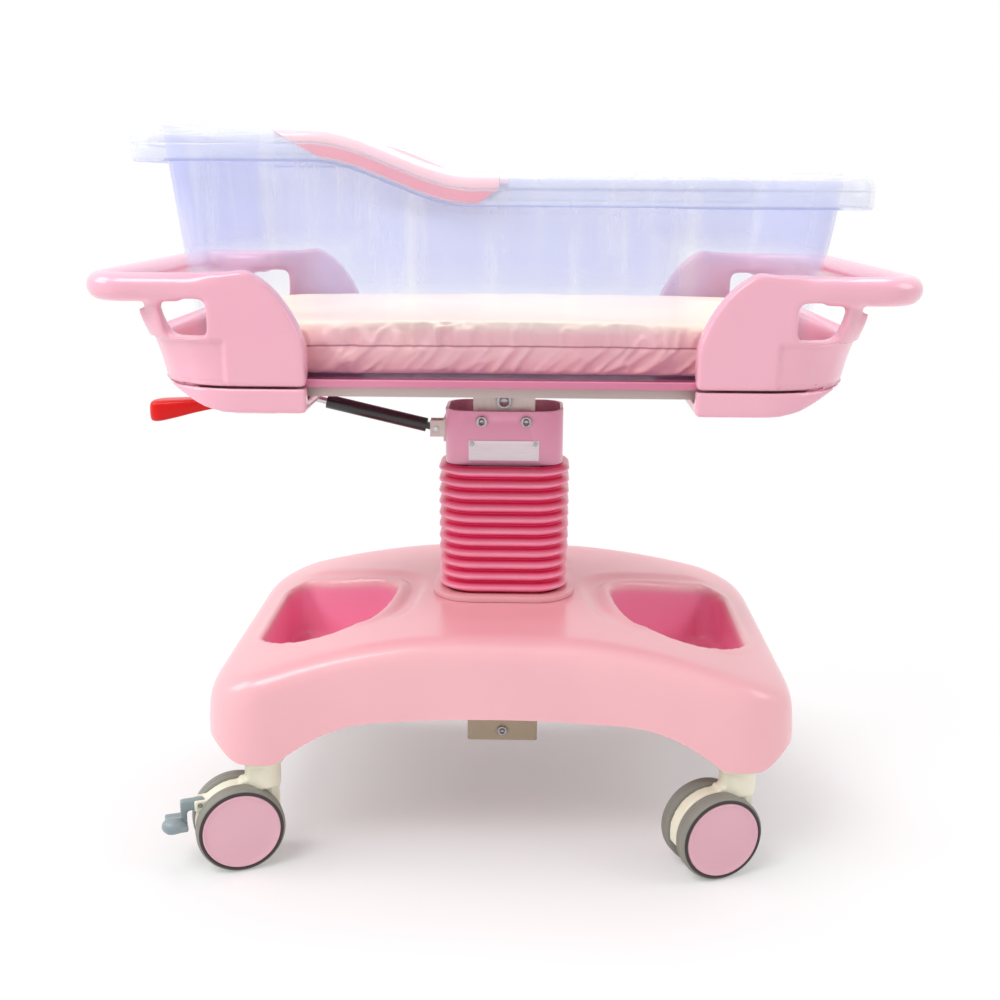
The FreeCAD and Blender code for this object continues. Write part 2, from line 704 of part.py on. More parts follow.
def base_body(inset):
    low = number(S.base_under)
    tall = prism(base_outline(inset, low), number(S.base_crown_top + S.past) - low)
    solid = tall.common(base_side(inset, low))
    if solid.ShapeType == "Compound":
        solid = solid.Solids[0]
    return solid.makeFillet(number(S.base_edge_radius) - inset, top_edges(solid))


def basin(side_x, margin, low):
    """A D-shaped well: round toward the column and wide toward the end."""
    inner = (number(S.basin_inner_x) * side_x, 0, number(S.basin_inner_radius) + margin)
    outer_x = number(S.basin_outer_x) * side_x
    outer_y = number(S.basin_outer_y)
    radius = number(S.basin_outer_radius) + margin
    circles = [inner, (outer_x, -outer_y * side_x, radius), (outer_x, outer_y * side_x, radius)]
    return prism(hull_wire(circles, low), number(S.base_crown_top) - low)


def base_cover():
    wall = number(S.base_wall)
    outer = base_body(0)
    inner = base_body(wall)
    floor = number(S.basin_floor)
    shell = outer.cut(inner)
    low = number(frame_top)
    boss_places = [Vector(x * number(S.caster_x), y * number(S.cover_boss_y), low)
                   for x in (-1, 1) for y in (-1, 1)]
    for place in boss_places:
        boss = Part.makeCylinder(number(S.cover_boss_radius), number(S.base_crown_top) - low, place)
        shell = shell.fuse(boss.common(outer))
    for side_x in (-1, 1):
        shell = shell.fuse(basin(side_x, wall, floor - wall).common(outer))
        shell = shell.cut(basin(side_x, 0, floor))
    half = number(S.base_hole_half)
    shell = shell.cut(block(-half, half, -half, half, number(S.base_end_top),
                            number(S.base_crown_top + S.past)))
    for place in boss_places:
        start = place - Vector(0, 0, number(S.past))
        hole = Part.makeCylinder(number(S.cover_screw_radius + S.fit_gap), number(S.cover_hole_depth), start)
        shell = shell.cut(hole)
    return shell.removeSplitter()


node("base_cover", feature("base_cover_shell", base_cover()))


def base_frame():
    """A welded beam with a cross beam and two stem sockets at each end."""
    span_z = (S.base_under, frame_top)
    cross = S.frame_cross_width / 2
    parts = [box("frame_beam", (-S.caster_x, S.caster_x), (-S.frame_beam_half, S.frame_beam_half), span_z)]
    hole_half = tube_outer + S.fit_gap
    holes = [box("frame_tube_hole", (-hole_half, hole_half), (-hole_half, hole_half),
                 (S.base_under - S.past, frame_top + S.past))]
    inner = S.frame_beam_half - S.frame_wall
    for side_x, side in ((-1, "head"), (1, "foot")):
        middle = S.caster_x * side_x
        parts.append(box(f"frame_cross_{side}", (middle - cross, middle + cross),
                         (-S.frame_cross_half, S.frame_cross_half), span_z))
        near = (tube_outer + S.frame_wall) * side_x
        far = (S.caster_x - cross) * side_x
        hollow = (near, far) if side_x > 0 else (far, near)
        holes.append(box(f"frame_hollow_{side}", hollow, (-inner, inner),
                         (S.base_under - S.past, frame_top - S.frame_wall)))
        for side_y, wing in ((-1, "near"), (1, "far")):
            y = S.caster_y * side_y
            parts.append(bar(f"frame_socket_{side}_{wing}", S.socket_radius, S.socket_height,
                             middle, y, S.base_under))
            holes.append(bar(f"frame_stem_hole_{side}_{wing}", S.stem_radius + S.fit_gap,
                             S.socket_height + S.past * 2, middle, y, S.base_under - S.past))
            holes.append(bar(f"frame_screw_hole_{side}_{wing}", S.cover_screw_radius + S.fit_gap,
                             S.frame_height + S.past * 2, middle, S.cover_boss_y * side_y,
                             S.base_under - S.past))
    return cut("base_frame_weldment", fuse("base_frame_beams", *parts), *holes)


node("base_frame", base_frame())


def screw_up(name, radius, head, length, x, y, z):
    """A screw driven upward, its head's upper face at z."""
    return fuse(name, bar(name + "_head", head, S.screw_head_height, x, y, z - S.screw_head_height),
                bar(name + "_shank", radius, length, x, y, z))


cover_screws = []
for side_x in (-1, 1):
    for side_y in (-1, 1):
        label = f"cover_screw_{side_x + 1}_{side_y + 1}"
        cover_screws.append(screw_up(label, S.cover_screw_radius, S.cover_screw_head,
                                     S.frame_height + S.cover_screw_bite, S.caster_x * side_x,
                                     S.cover_boss_y * side_y, S.base_under))
node("base_cover_screws", gather("base_cover_screw_set", *cover_screws))


# ---------------------------------------------------------------- column

foot_top = S.foot_bottom + S.foot_height
foot_half = S.foot_width / 2


def square_tube(name, outer, inner, low, high):
    hole = box(name + "_hole", (-inner, inner), (-inner, inner), (low - S.past, high + S.past))
    return cut(name, box(name + "_solid", (-outer, outer), (-outer, outer), (low, high)), hole)


node("column_outer_tube", square_tube("outer_tube", tube_outer, tube_inner, foot_top, S.tube_top))

bush_hole = S.post_width / 2 + S.fit_gap
bushes = []
for label, low in (("upper", S.tube_top - S.bush_height), ("lower", S.lower_bush_z)):
    bushes.append(square_tube(f"{label}_bush", tube_inner, bush_hole, low, low + S.bush_height))
node("column_guide_bushes", gather("guide_bush_set", *bushes))

foot_bolt_z = S.foot_bottom + S.foot_bolt_rise
foot_bolt_shank = S.foot_bolt_radius / 2
foot_body = block_body("foot_block_body", foot_half, foot_half, S.foot_bottom, S.foot_height, S.foot_corner)
node("column_foot_block", cut("foot_block", foot_body,
                              bar("foot_bolt_hole", foot_bolt_shank + S.fit_gap, S.foot_bolt_depth + S.past,
                                  0, -foot_half - S.past / 2, foot_bolt_z, "Y")))
node("foot_block_bolt", fuse("foot_bolt",
                             bar("foot_bolt_head_disc", S.foot_bolt_radius, S.foot_bolt_head, 0,
                                 -foot_half - S.foot_bolt_head, foot_bolt_z, "Y"),
                             bar("foot_bolt_shank_rod", foot_bolt_shank, S.foot_bolt_depth, 0,
                                 -foot_half, foot_bolt_z, "Y")))

pivot_z = S.post_top - S.pivot_drop
post_half = S.post_width / 2
post_inner_half = post_half - S.post_wall
shelf_z = S.post_top - S.post_shelf_drop
collar_top = S.collar_bottom + S.collar_height
screw_z = collar_top - S.collar_screw_drop


def column_post():
    """A square tube with a shelf that the height spring pushes on."""
    tube = square_tube("post_tube", post_half, post_inner_half, S.post_bottom, S.post_top)
    shelf = box("post_shelf", (-post_inner_half, post_inner_half), (-post_inner_half, post_inner_half),
                (shelf_z, shelf_z + S.post_shelf_thickness))
    holes = [cross_bar("post_pivot_hole", S.pivot_radius + S.fit_gap, S.post_width, 0, pivot_z)]
    for side_x in (-1, 1):
        holes.append(cross_bar(f"post_collar_hole_{side_x + 1}", S.collar_screw_radius + S.fit_gap,
                               S.post_width, S.collar_screw_x * side_x, screw_z))
    return cut("post_drilled", fuse("post_welded", tube, shelf), *holes)


node("column_post", column_post())

rod_low = foot_top + S.spring_rod_rise
rod_gap = S.spring_rod_radius + S.fit_gap
node("height_spring_cylinder", cut(
    "height_spring_bored",
    bar("height_spring_body", S.spring_tube_radius, S.spring_tube_top - foot_top, 0, 0, foot_top),
    bar("height_spring_bore", rod_gap, S.spring_tube_top - foot_top, 0, 0, foot_top + S.spring_bore_rise)))
node("height_spring_rod", gather(
    "height_spring_rod_set",
    bar("height_spring_rod_bar", S.spring_rod_radius, shelf_z - rod_low, 0, 0, rod_low)))


def collar():
    """A thin rounded box round the post, open at both ends, with a pad on each post face."""
    low = number(S.collar_bottom)
    tall = number(S.collar_height)
    wall = number(S.collar_wall)
    half_x = number(S.collar_half_x)
    half_y = number(S.collar_half_y)
    corner = number(S.collar_corner)
    outer = prism(round_rectangle(half_x, half_y, corner, low), tall)
    inner = prism(round_rectangle(half_x - wall, half_y - wall, corner - wall, low), tall)
    shell = outer.cut(inner)
    pad_half = number(S.collar_pad_half)
    for side in (-1, 1):
        near = side * number(post_half)
        far = side * (half_y - wall / 2)
        pad_block = block(-pad_half, pad_half, min(near, far), max(near, far), low, low + tall - wall)
        shell = shell.fuse(pad_block)
    for side in (-1, 1):
        hole = Part.makeCylinder(number(S.collar_screw_radius + S.fit_gap), 2 * half_y,
                                 Vector(side * number(S.collar_screw_x), -half_y, number(screw_z)),
                                 Vector(0, 1, 0))
        shell = shell.cut(hole)
    return shell.removeSplitter()


node("column_collar", feature("collar_shell", collar()))

collar_screws = []
for side_x in (-1, 1):
    for side_y in (-1, 1):
        label = f"collar_screw_{side_x + 1}_{side_y + 1}"
        x = S.collar_screw_x * side_x
        depth = S.collar_half_y - post_inner_half
        head_y = -S.collar_half_y - S.screw_head_height if side_y < 0 else S.collar_half_y
        shank_y = -S.collar_half_y if side_y < 0 else S.collar_half_y - depth
        collar_screws.append(fuse(label,
                                  bar(label + "_head", S.collar_screw_head, S.screw_head_height, x, head_y,
                                      screw_z, "Y"),
                                  bar(label + "_shank", S.collar_screw_radius, depth, x, shank_y,
                                      screw_z, "Y")))
node("collar_screws", gather("collar_screw_set", *collar_screws))

plate_low = S.collar_bottom + S.plate_rise
plate_face = -S.collar_half_y - S.plate_thickness
rivet_x = S.plate_width / 2 - S.rivet_inset
rivet_z = plate_low + S.plate_height - S.rivet_inset
plate_holes = []
rivets = []
for side_x in (-1, 1):
    label = f"plate_rivet_{side_x + 1}"
    plate_holes.append(bar(label + "_hole", S.rivet_radius, S.plate_thickness + S.past, rivet_x * side_x,
                           plate_face - S.past / 2, rivet_z, "Y"))
    rivets.append(fuse(label,
                       bar(label + "_head", S.rivet_head, S.rivet_head_height, rivet_x * side_x,
                           plate_face - S.rivet_head_height, rivet_z, "Y"),
                       bar(label + "_shank", S.rivet_radius, S.plate_thickness, rivet_x * side_x,
                           plate_face, rivet_z, "Y")))
node("name_plate", cut("name_plate_drilled",
                       box("name_plate_blank", (-S.plate_width / 2, S.plate_width / 2),
                           (plate_face, -S.collar_half_y), (plate_low, plate_low + S.plate_height)),
                       *plate_holes))
node("name_plate_rivets", gather("name_plate_rivet_set", *rivets))


def bellows():
    """Round ridges over a thinner core, open inside."""
    low = number(S.bellows_bottom)
    tall = number(S.collar_bottom) - number(S.seat_gap) - low
    half_x = number(S.bellows_half_x)
    half_y = number(S.bellows_half_y)
    corner = number(S.bellows_corner)
    valley = number(S.bellows_valley)
    wall = number(S.bellows_wall)
    crest = number(S.bellows_crest)
    band = number(S.bellows_band)
    crest_band = number(S.bellows_crest_band)
    past = number(S.past)
    ridges = int(number(S.bellows_ridges))

    def layer(inset, z, height):
        wire = round_rectangle(half_x - inset, half_y - inset, corner - inset, z)
        return prism(wire, height)

    pitch = tall / ridges
    solid = layer(valley, low, tall)
    for index in range(ridges):
        middle = low + pitch * (index + 0.5)
        solid = solid.fuse(layer(crest, middle - band / 2, band))
        solid = solid.fuse(layer(0, middle - crest_band / 2, crest_band))
    return solid.cut(layer(valley + wall, low - past, tall + 2 * past))


node("bellows", feature("bellows_sleeve", bellows()))


def bellows_ring():
    """The raised ring that holds the foot of the bellows on the crown."""
    low = number(S.base_crown_top)
    height = number(S.bellows_bottom) - number(S.seat_gap) - low
    margin = number(S.ring_margin)
    half_x = number(S.bellows_half_x) + margin
    half_y = number(S.bellows_half_y) + margin
    corner = number(S.bellows_corner) + margin
    hole = margin + number(S.bellows_valley) + number(S.bellows_wall)
    outer = prism(round_rectangle(half_x, half_y, corner, low), height)
    return outer.cut(prism(round_rectangle(half_x - hole, half_y - hole, corner - hole, low), height))


node("bellows_ring", feature("bellows_ring_solid", bellows_ring()))

bolt_half = post_half + S.fit_gap * 2
node("tilt_pivot_bolt", fuse("tilt_bolt",
                             cross_bar("tilt_bolt_shank", S.pivot_radius, bolt_half, 0, pivot_z),
                             bar("tilt_bolt_head", S.pivot_head, S.pivot_head_height, 0,
                                 -bolt_half - S.pivot_head_height, pivot_z, "Y"),
                             bar("tilt_bolt_nut", S.pivot_head, S.pivot_head_height, 0,
                                 bolt_half, pivot_z, "Y")))


# ---------------------------------------------------------------- tilt spring

clevis_inner = S.clevis_gap / 2
clevis_outer = clevis_inner + S.clevis_plate
foot_x = -S.spring_foot_x
foot_z = S.spring_foot_z


def spring_bracket():
    """A two-cheek bracket on the collar's head side."""
    wall_x = -S.collar_half_x
    tip = foot_x - S.clevis_tip
    parts = [box("clevis_base", (wall_x - S.clevis_base, wall_x), (-S.clevis_base_half, S.clevis_base_half),
                 (foot_z - S.clevis_base_rise, foot_z + S.clevis_base_rise))]
    tall = (foot_z - S.clevis_half, foot_z + S.clevis_half)
    for side, span in (("near", (-clevis_outer, -clevis_inner)), ("far", (clevis_inner, clevis_outer))):
        parts.append(box(f"clevis_{side}", (tip, wall_x), span, tall))
    hole = cross_bar("clevis_hole", S.pin_radius + S.fit_gap, clevis_outer + S.past, foot_x, foot_z)
    return cut("spring_bracket_drilled", fuse("spring_bracket_plates", *parts), hole)


node("tilt_spring_bracket", spring_bracket())
foot_pin = cross_bar("tilt_spring_pin_bar", S.pin_radius, clevis_outer + S.pin_end, foot_x, foot_z)
node("tilt_spring_pin", gather("tilt_spring_pin_set", foot_pin))

spring_end_z = pivot_z + S.spring_end_rise
run = number(S.spring_end_x) - number(S.spring_foot_x)
rise = number(spring_end_z) - number(foot_z)
spring_span = math.hypot(run, rise)
spring_lean = math.degrees(math.atan2(rise, run))
spring_frame = Placement(Vector(number(foot_x), 0, number(foot_z)), Rotation(Vector(0, 1, 0), spring_lean))


def spring_cylinder():
    """Drawn along -X from the foot pin: an eye, a neck and the bored tube."""
    body = body_of("tilt_cylinder_body")
    profile = sketch(body, "tilt_cylinder_profile", "XZ_Plane")
    start = S.spring_eye + S.spring_neck
    end = start + S.spring_length
    floor = start + S.spring_bore_wall
    outline(profile, [(0, start), (S.spring_radius, start), (S.spring_radius, end), (S.spring_bore, end),
                      (S.spring_bore, floor), (0, floor)])
    revolve(body, "tilt_cylinder_turn", profile)
    put(body, 0, 0, 0, Rotation(Vector(0, 1, 0), -90))
    eye_half = clevis_inner - S.seat_gap
    eye = bar("tilt_cylinder_eye", S.spring_eye, eye_half * 2, 0, -eye_half, 0, "Y")
    neck = box("tilt_cylinder_neck", (-start - S.past, 0), (-S.spring_neck_half, S.spring_neck_half),
               (-S.spring_neck_half, S.spring_neck_half))
    hole = cross_bar("tilt_cylinder_hole", S.pin_radius + S.fit_gap, S.clevis_gap, 0, 0)
    return cut("tilt_cylinder", fuse("tilt_cylinder_parts", body, eye, neck), hole)


cylinder = spring_cylinder()
cylinder.Placement = spring_frame
node("tilt_spring_cylinder", cylinder)

head_start = spring_span - number(S.release_eye + S.release_neck)
rod_start = number(S.rod_start)
rod = gather("tilt_rod_set", feature("tilt_rod_bar", Part.makeCylinder(
    number(S.rod_radius), head_start - rod_start, Vector(-rod_start, 0, 0), Vector(-1, 0, 0))))
rod.Placement = spring_frame
node("tilt_spring_rod", rod)


def release_head():
    """The head on the rod: a block and an eye with play round the deck pin."""
    half = number(S.release_width) / 2 - number(S.seat_gap)
    eye = number(S.release_eye)
    centre = Vector(-spring_span, -half, 0)
    solid = Part.makeCylinder(eye, 2 * half, centre, Vector(0, 1, 0))
    rise = number(S.release_half_height)
    solid = solid.fuse(block(-spring_span, -head_start, -half, half, -rise, rise))
    hole = Part.makeCylinder(number(S.pin_radius + S.release_play), 2 * half, centre, Vector(0, 1, 0))
    return solid.cut(hole)


node("tilt_release_head", feature("tilt_release_head_solid", release_head(), spring_frame))

release_inner = S.release_width / 2
release_outer = release_inner + S.release_plate
lever_x = -S.lever_pin_x
lever_z = spring_end_z - S.lever_pin_drop
plate_start = -S.lever_pin_x - S.release_plate_start
plate_end = -S.spring_end_x + S.release_eye


def release_bracket():
    """Two plates under the end rail that hold the release pin and the lever pin."""
    parts = []
    for side, span in (("near", (-release_outer, -release_inner)), ("far", (release_inner, release_outer))):
        parts.append(box(f"release_plate_{side}", (plate_start, plate_end), span,
                         (lever_z - S.release_plate_drop, S.deck_under)))
    parts.append(box("release_bridge", (plate_start, plate_start + S.rail_width),
                     (-release_outer, release_outer), (S.deck_under - S.release_plate, S.deck_under)))
    hole = S.pin_radius + S.fit_gap
    holes = [cross_bar("release_hole", hole, release_outer + S.past, -S.spring_end_x, spring_end_z),
             cross_bar("lever_hole", hole, release_outer + S.past, lever_x, lever_z)]
    return cut("release_bracket_drilled", fuse("release_bracket_plates", *parts), *holes)


node("release_bracket", release_bracket())
node("release_pins", gather(
    "release_pin_set",
    cross_bar("release_pin_bar", S.pin_radius, release_outer + S.pin_end, -S.spring_end_x, spring_end_z),
    cross_bar("lever_pin_bar", S.pin_radius, release_outer + S.pin_end, lever_x, lever_z)))


def lever_arm():
    """A flat arm from the lever pin into the grip."""
    half = release_inner - S.seat_gap
    end_x = lever_x - S.lever_reach - S.grip_length / 2
    low = lever_z - S.lever_thickness / 2
    parts = [bar("lever_eye", S.lever_eye, half * 2, lever_x, -half, lever_z, "Y"),
             box("lever_bar", (end_x, lever_x), (-half, half), (low, low + S.lever_thickness))]
    hole = cross_bar("lever_eye_hole", S.pin_radius + S.fit_gap, release_inner * 2, lever_x, lever_z)
    return cut("lever_arm_drilled", fuse("lever_arm_parts", *parts), hole)


node("release_lever_arm", lever_arm())


def lever_grip():
    """A rounded paddle over the end of the arm."""
    start = lever_x - S.lever_reach
    half = release_inner - S.seat_gap
    middle = number(start - S.grip_length / 2)
    narrow = number(S.grip_narrow)
    tip = number(S.grip_tip)
    reach = number(S.grip_length) / 2 - tip
    flat = number(S.grip_width) / 2 - tip
    low = number(lever_z - S.grip_thickness / 2)
    wire = hull_wire([(middle + reach, -flat, narrow), (middle + reach, flat, narrow),
                      (middle - reach, flat, tip), (middle - reach, -flat, tip)], low)
    paddle = prism(wire, number(S.grip_thickness))
    gap = number(S.fit_gap)
    slot = block(number(start - S.grip_length / 2) - gap, number(start + S.grip_mouth), -number(half) - gap,
                 number(half) + gap, number(lever_z - S.lever_thickness / 2) - gap,
                 number(lever_z + S.lever_thickness / 2) + gap)
    return paddle.cut(slot)


node("release_lever_grip", feature("release_grip_paddle", lever_grip()))


# ---------------------------------------------------------------- deck

rail_top = S.deck_under + S.rail_height
cheek_outer = post_inner_half - S.seat_gap
cheek_inner = cheek_outer - S.tilt_cheek


def tilt_bracket():
    """A channel under the deck whose cheeks hang on the pivot bolt inside the post."""
    half = S.tilt_bracket_half
    low = pivot_z - S.pivot_drop - S.tilt_cheek
    parts = [box("tilt_bridge", (-half, half), (-cheek_outer, cheek_outer),
                 (S.deck_under - S.tilt_cheek, S.deck_under))]
    for side, span in (("near", (-cheek_outer, -cheek_inner)), ("far", (cheek_inner, cheek_outer))):
        parts.append(box(f"tilt_cheek_{side}", (-half, half), span, (low, S.deck_under)))
    hole = cross_bar("tilt_hole", S.pivot_radius + S.fit_gap, S.post_width, 0, pivot_z)
    return cut("tilt_bracket_drilled", fuse("tilt_bracket_plates", *parts), hole)


node("tilt_bracket", tilt_bracket())


def deck_frame():
    """A welded ladder of rails with a plate over the tilt bracket."""
    span_z = (S.deck_under, rail_top)
    inner_y = S.frame_half_width - S.rail_width
    parts = []
    for side in (-1, 1):
        edges = sorted((S.frame_half_width * side, inner_y * side), key=number)
        rail_span = (-S.frame_half_length, S.frame_half_length)
        parts.append(box(f"long_rail_{side + 1}", rail_span, edges, span_z))
        ends = sorted((S.frame_half_length * side, (S.frame_half_length - S.rail_width) * side), key=number)
        parts.append(box(f"end_rail_{side + 1}", ends, (-inner_y, inner_y), span_z))
        middle = sorted((S.centre_rail_x * side, (S.centre_rail_x + S.rail_width) * side), key=number)
        parts.append(box(f"centre_rail_{side + 1}", middle, (-inner_y, inner_y), span_z))
    foot_half = S.foot_width / 2
    parts.append(box("centre_plate", (-S.centre_rail_x, S.centre_rail_x), (-foot_half, foot_half),
                     (S.deck_under, S.deck_under + S.tilt_cheek)))
    holes = []
    for index, (x, y) in enumerate(housing_screw_places()):
        holes.append(bar(f"rail_screw_hole_{index}", S.housing_screw_radius + S.fit_gap, S.rail_height,
                         x, y, S.deck_under - 1))
    return cut("deck_frame_weldment", fuse("deck_frame_rails", *parts), *holes)


def housing_screw_places():
    """Two screws under each long rail at each end."""
    places = []
    for side_x in (-1, 1):
        for step in (0, 1):
            for side_y in (-1, 1):
                places.append(((S.housing_screw_x + S.housing_screw_pitch * step) * side_x,
                               S.housing_screw_y * side_y))
    return places


node("deck_frame", deck_frame())


def deck_tray():
    """A shallow tray with a raised lip: a pad, a pocket, then round corners inside and out."""
    body = body_of("deck_tray_body")
    plan = sketch(body, "tray_plan", "XY_Plane", rail_top)
    outline(plan, rectangle(S.tray_half_length, S.tray_half_width))
    blank = pad(body, "tray_blank", plan, S.tray_lip)
    doc.recompute()
    before = blank.Shape.Volume
    well = sketch(body, "tray_well_plan", "XY_Plane", rail_top + S.tray_thickness)
    outline(well, rectangle(S.tray_half_length - S.tray_lip_wall, S.tray_half_width - S.tray_lip_wall))
    hollow = pocket(body, "tray_well", well, S.tray_lip, True)
    doc.recompute()
    if hollow.Shape.Volume >= before:
        raise RuntimeError("the tray well cuts nothing")
    high = number(rail_top + S.tray_lip)
    inner = upright_edges(hollow.Shape, number(rail_top + S.tray_thickness), high)
    inside = round_edges(body, "tray_well_corners", hollow, inner, S.tray_corner - S.tray_lip_wall)
    doc.recompute()
    outer = upright_edges(inside.Shape, number(rail_top), high)
    round_edges(body, "tray_corners", inside, outer, S.tray_corner)
    return body


node("deck_tray", deck_tray())


def housing_plan(inset_x, inset_y, corner, flare, z):
    """Plan of an end housing: square toward the middle, round at the outer corners."""
    x = number(S.housing_half_length) + flare - inset_x - corner
    y = number(S.housing_half_width) - inset_y
    return hull_wire([(0, -y, 0), (x, corner - y, corner), (x, y - corner, corner), (0, y, 0)], z)


def keel(inset):
    """Side view of a lower housing: flat, then curving up to the joint line."""
    low = number(S.housing_under) + inset
    joint = number(S.housing_joint)
    start = number(S.housing_gap_half) + inset
    end = number(S.housing_half_length) - inset
    path = SidePath(start, low).line(number(S.keel_start), low)
    path.arc(end, joint, -number(S.keel_bulge)).line(end, joint + inset).line(start, joint + inset)
    return path.solid(number(S.housing_half_width) + 1)


def lower_housing():
    """The dish under one end of the deck, at the +X side."""
    low = number(S.housing_under)
    joint = number(S.housing_joint)
    wall = number(S.housing_shell)
    corner = number(S.housing_corner)
    solid = prism(housing_plan(0, 0, corner, 0, low), joint - low).common(keel(0))
    hollow = prism(housing_plan(wall, wall, corner - wall, 0, low), joint + wall - low).common(keel(wall))
    solid = solid.cut(hollow)
    reach = number(S.tray_half_width + S.seat_gap)
    gap = number(S.housing_gap_half)
    rail_gap = number(S.deck_under - S.seat_gap)
    past = number(S.past)
    solid = solid.cut(block(gap - past, gap + wall + past, -reach, reach, rail_gap, joint + past))
    slot = number(S.housing_slot_half)
    solid = solid.cut(block(gap - past, number(S.housing_slot_end), -slot, slot, low - past, joint + past))
    for step in (0, 1):
        for side in (-1, 1):
            place = Vector(number(S.housing_screw_x + S.housing_screw_pitch * step),
                           side * number(S.housing_screw_y), low)
            tall = number(S.deck_under) - low
            boss = Part.makeCylinder(number(S.housing_screw_radius) * 3, tall, place)
            hole = Part.makeCylinder(number(S.housing_screw_radius + S.fit_gap), tall, place)
            solid = solid.fuse(boss).cut(hole)
    return solid.removeSplitter()


def upper_side():
    """Side view of an upper housing: shoulder, top, open window and corner post."""
    gap = number(S.housing_gap_half)
    joint = number(S.housing_joint)
    top = number(S.housing_top)
    start = number(S.handle_start)
    outer = number(S.housing_half_length + S.housing_flare) + 5
    path = SidePath(gap, joint).line(gap, number(S.shoulder_z))
    path.arc(number(S.shoulder_x), top, number(S.shoulder_bulge)).line(start, top)
    inner = number(S.window_inner)
    path.line(start, number(S.window_high)).line(inner, number(S.window_high))
    path.line(inner, number(S.window_low)).line(number(S.window_outer), number(S.window_low))
    path.line(number(S.post_inner), number(S.window_high)).line(number(S.post_inner), number(S.handle_z))
    path.line(outer, number(S.handle_z)).line(outer, joint)
    return path.solid(number(S.housing_half_width) + 1)


def upper_housing():
    """The wall and the two wings round one end of the tub, at the +X side."""
    joint = number(S.housing_joint)
    top = number(S.housing_top)
    flare = number(S.housing_flare)
    corner = number(S.housing_corner)
    end = number(S.housing_end_wall)
    side = number(S.housing_side_wall)
    outer = Part.makeLoft([housing_plan(0, 0, corner, 0, joint), housing_plan(0, 0, corner, flare, top)],
                          True, True)
    inner_corner = corner - end
    inner = Part.makeLoft([housing_plan(end, side, inner_corner, 0, joint),
                           housing_plan(end, side, inner_corner, flare, top)], True, True)
    solid = outer.common(upper_side()).cut(inner)
    seat = number(rail_top + S.tray_lip + S.seat_gap)
    reach_x = number(S.tray_half_length + S.seat_gap)
    reach_y = number(S.tray_half_width + S.seat_gap)
    recess = prism(round_rectangle(reach_x, reach_y, number(S.tray_corner), joint), seat - joint)
    solid = solid.cut(recess)
    window = number(S.window_half_y)
    solid = solid.cut(block(number(S.window_outer) - 20, number(S.handle_reach), -window, window,
                            number(S.window_low), top + 1))
    handle_y = number(S.housing_half_width - S.handle_radius)
    for turn in (-1, 1):
        place = Vector(number(S.handle_start), turn * handle_y, number(S.handle_z))
        solid = solid.cut(Part.makeCylinder(number(S.handle_radius + S.fit_gap),
                                            number(S.handle_reach - S.handle_start), place, Vector(1, 0, 0)))
    return solid.removeSplitter()


foot_lower = node("foot_housing_lower", feature("foot_lower_shell", lower_housing()))
foot_upper = node("foot_housing_upper", feature("foot_upper_shell", upper_housing()))
node("head_housing_lower", mirrored("head_lower_shell", foot_lower, Vector(1, 0, 0)))
node("head_housing_upper", mirrored("head_upper_shell", foot_upper, Vector(1, 0, 0)))

housing_screws = []
for index, (x, y) in enumerate(housing_screw_places()):
    housing_screws.append(screw_up(f"housing_screw_{index}", S.housing_screw_radius,
                                   S.housing_screw_radius * 2,
                                   S.deck_under - S.housing_under + S.rail_height - S.screw_head_height,
                                   x, y, S.housing_under))
node("housing_screws", gather("housing_screw_set", *housing_screws))


def push_handle():
    """A round bar: out from the near wing, across the end and back to the far wing."""
    side_y = S.housing_half_width - S.handle_radius
    bend_x = S.handle_reach - S.handle_radius - S.handle_bend
    bend_y = side_y - S.handle_bend
    parts = [bar("handle_cross", S.handle_radius, bend_y * 2, S.handle_reach - S.handle_radius, -bend_y,
                 S.handle_z, "Y")]
    for side, turn in ((-1, -90), (1, 0)):
        label = f"handle_{side + 1}"
        parts.append(bar(label + "_side", S.handle_radius, bend_x - S.handle_start, S.handle_start,
                         side_y * side, S.handle_z, "X"))
        bend = doc.addObject("Part::Torus", label + "_bend")
        bind(bend, "Radius1", S.handle_bend)
        bind(bend, "Radius2", S.handle_radius)
        bend.Angle3 = 90
        parts.append(put(bend, bend_x, bend_y * side, S.handle_z, Rotation(Vector(0, 0, 1), turn)))
    return fuse("foot_handle_bar", *parts)


foot_handle = node("foot_handle", push_handle())
node("head_handle", mirrored("head_handle_bar", foot_handle, Vector(1, 0, 0)))


# ---------------------------------------------------------------- tub and mattress

tub_low = rail_top + S.tray_thickness + S.seat_gap


def tub_wall(inset, low, high):
    """The tapered wall, drawn to the given heights."""
    floor_z = number(tub_low)
    top_z = number(S.rim_high)

    def ring(z):
        share = (z - floor_z) / (top_z - floor_z)

        def between(a, b):
            return number(a) + (number(b) - number(a)) * share

        return round_rectangle(between(S.tub_floor_half_x, S.tub_wall_half_x) - inset,
                               between(S.tub_floor_half_y, S.tub_wall_half_y) - inset,
                               between(S.tub_floor_corner, S.tub_wall_corner) - inset, z)

    return Part.makeLoft([ring(low), ring(high)], True, True)


def under_rim(drop, floor):
    """Everything between a floor and the rim's line, lowered by the drop."""
    reach = number(S.rim_half_x) + 20
    start = -number(S.rim_slope_start)
    high = number(S.rim_high) - drop
    low = number(S.rim_low) - drop
    path = SidePath(-reach, floor).line(-reach, high).line(start, high)
    path.ogee(start + number(S.rim_slope_length), low).line(reach, low).line(reach, floor)
    return path.solid(number(S.rim_half_y) + 20)


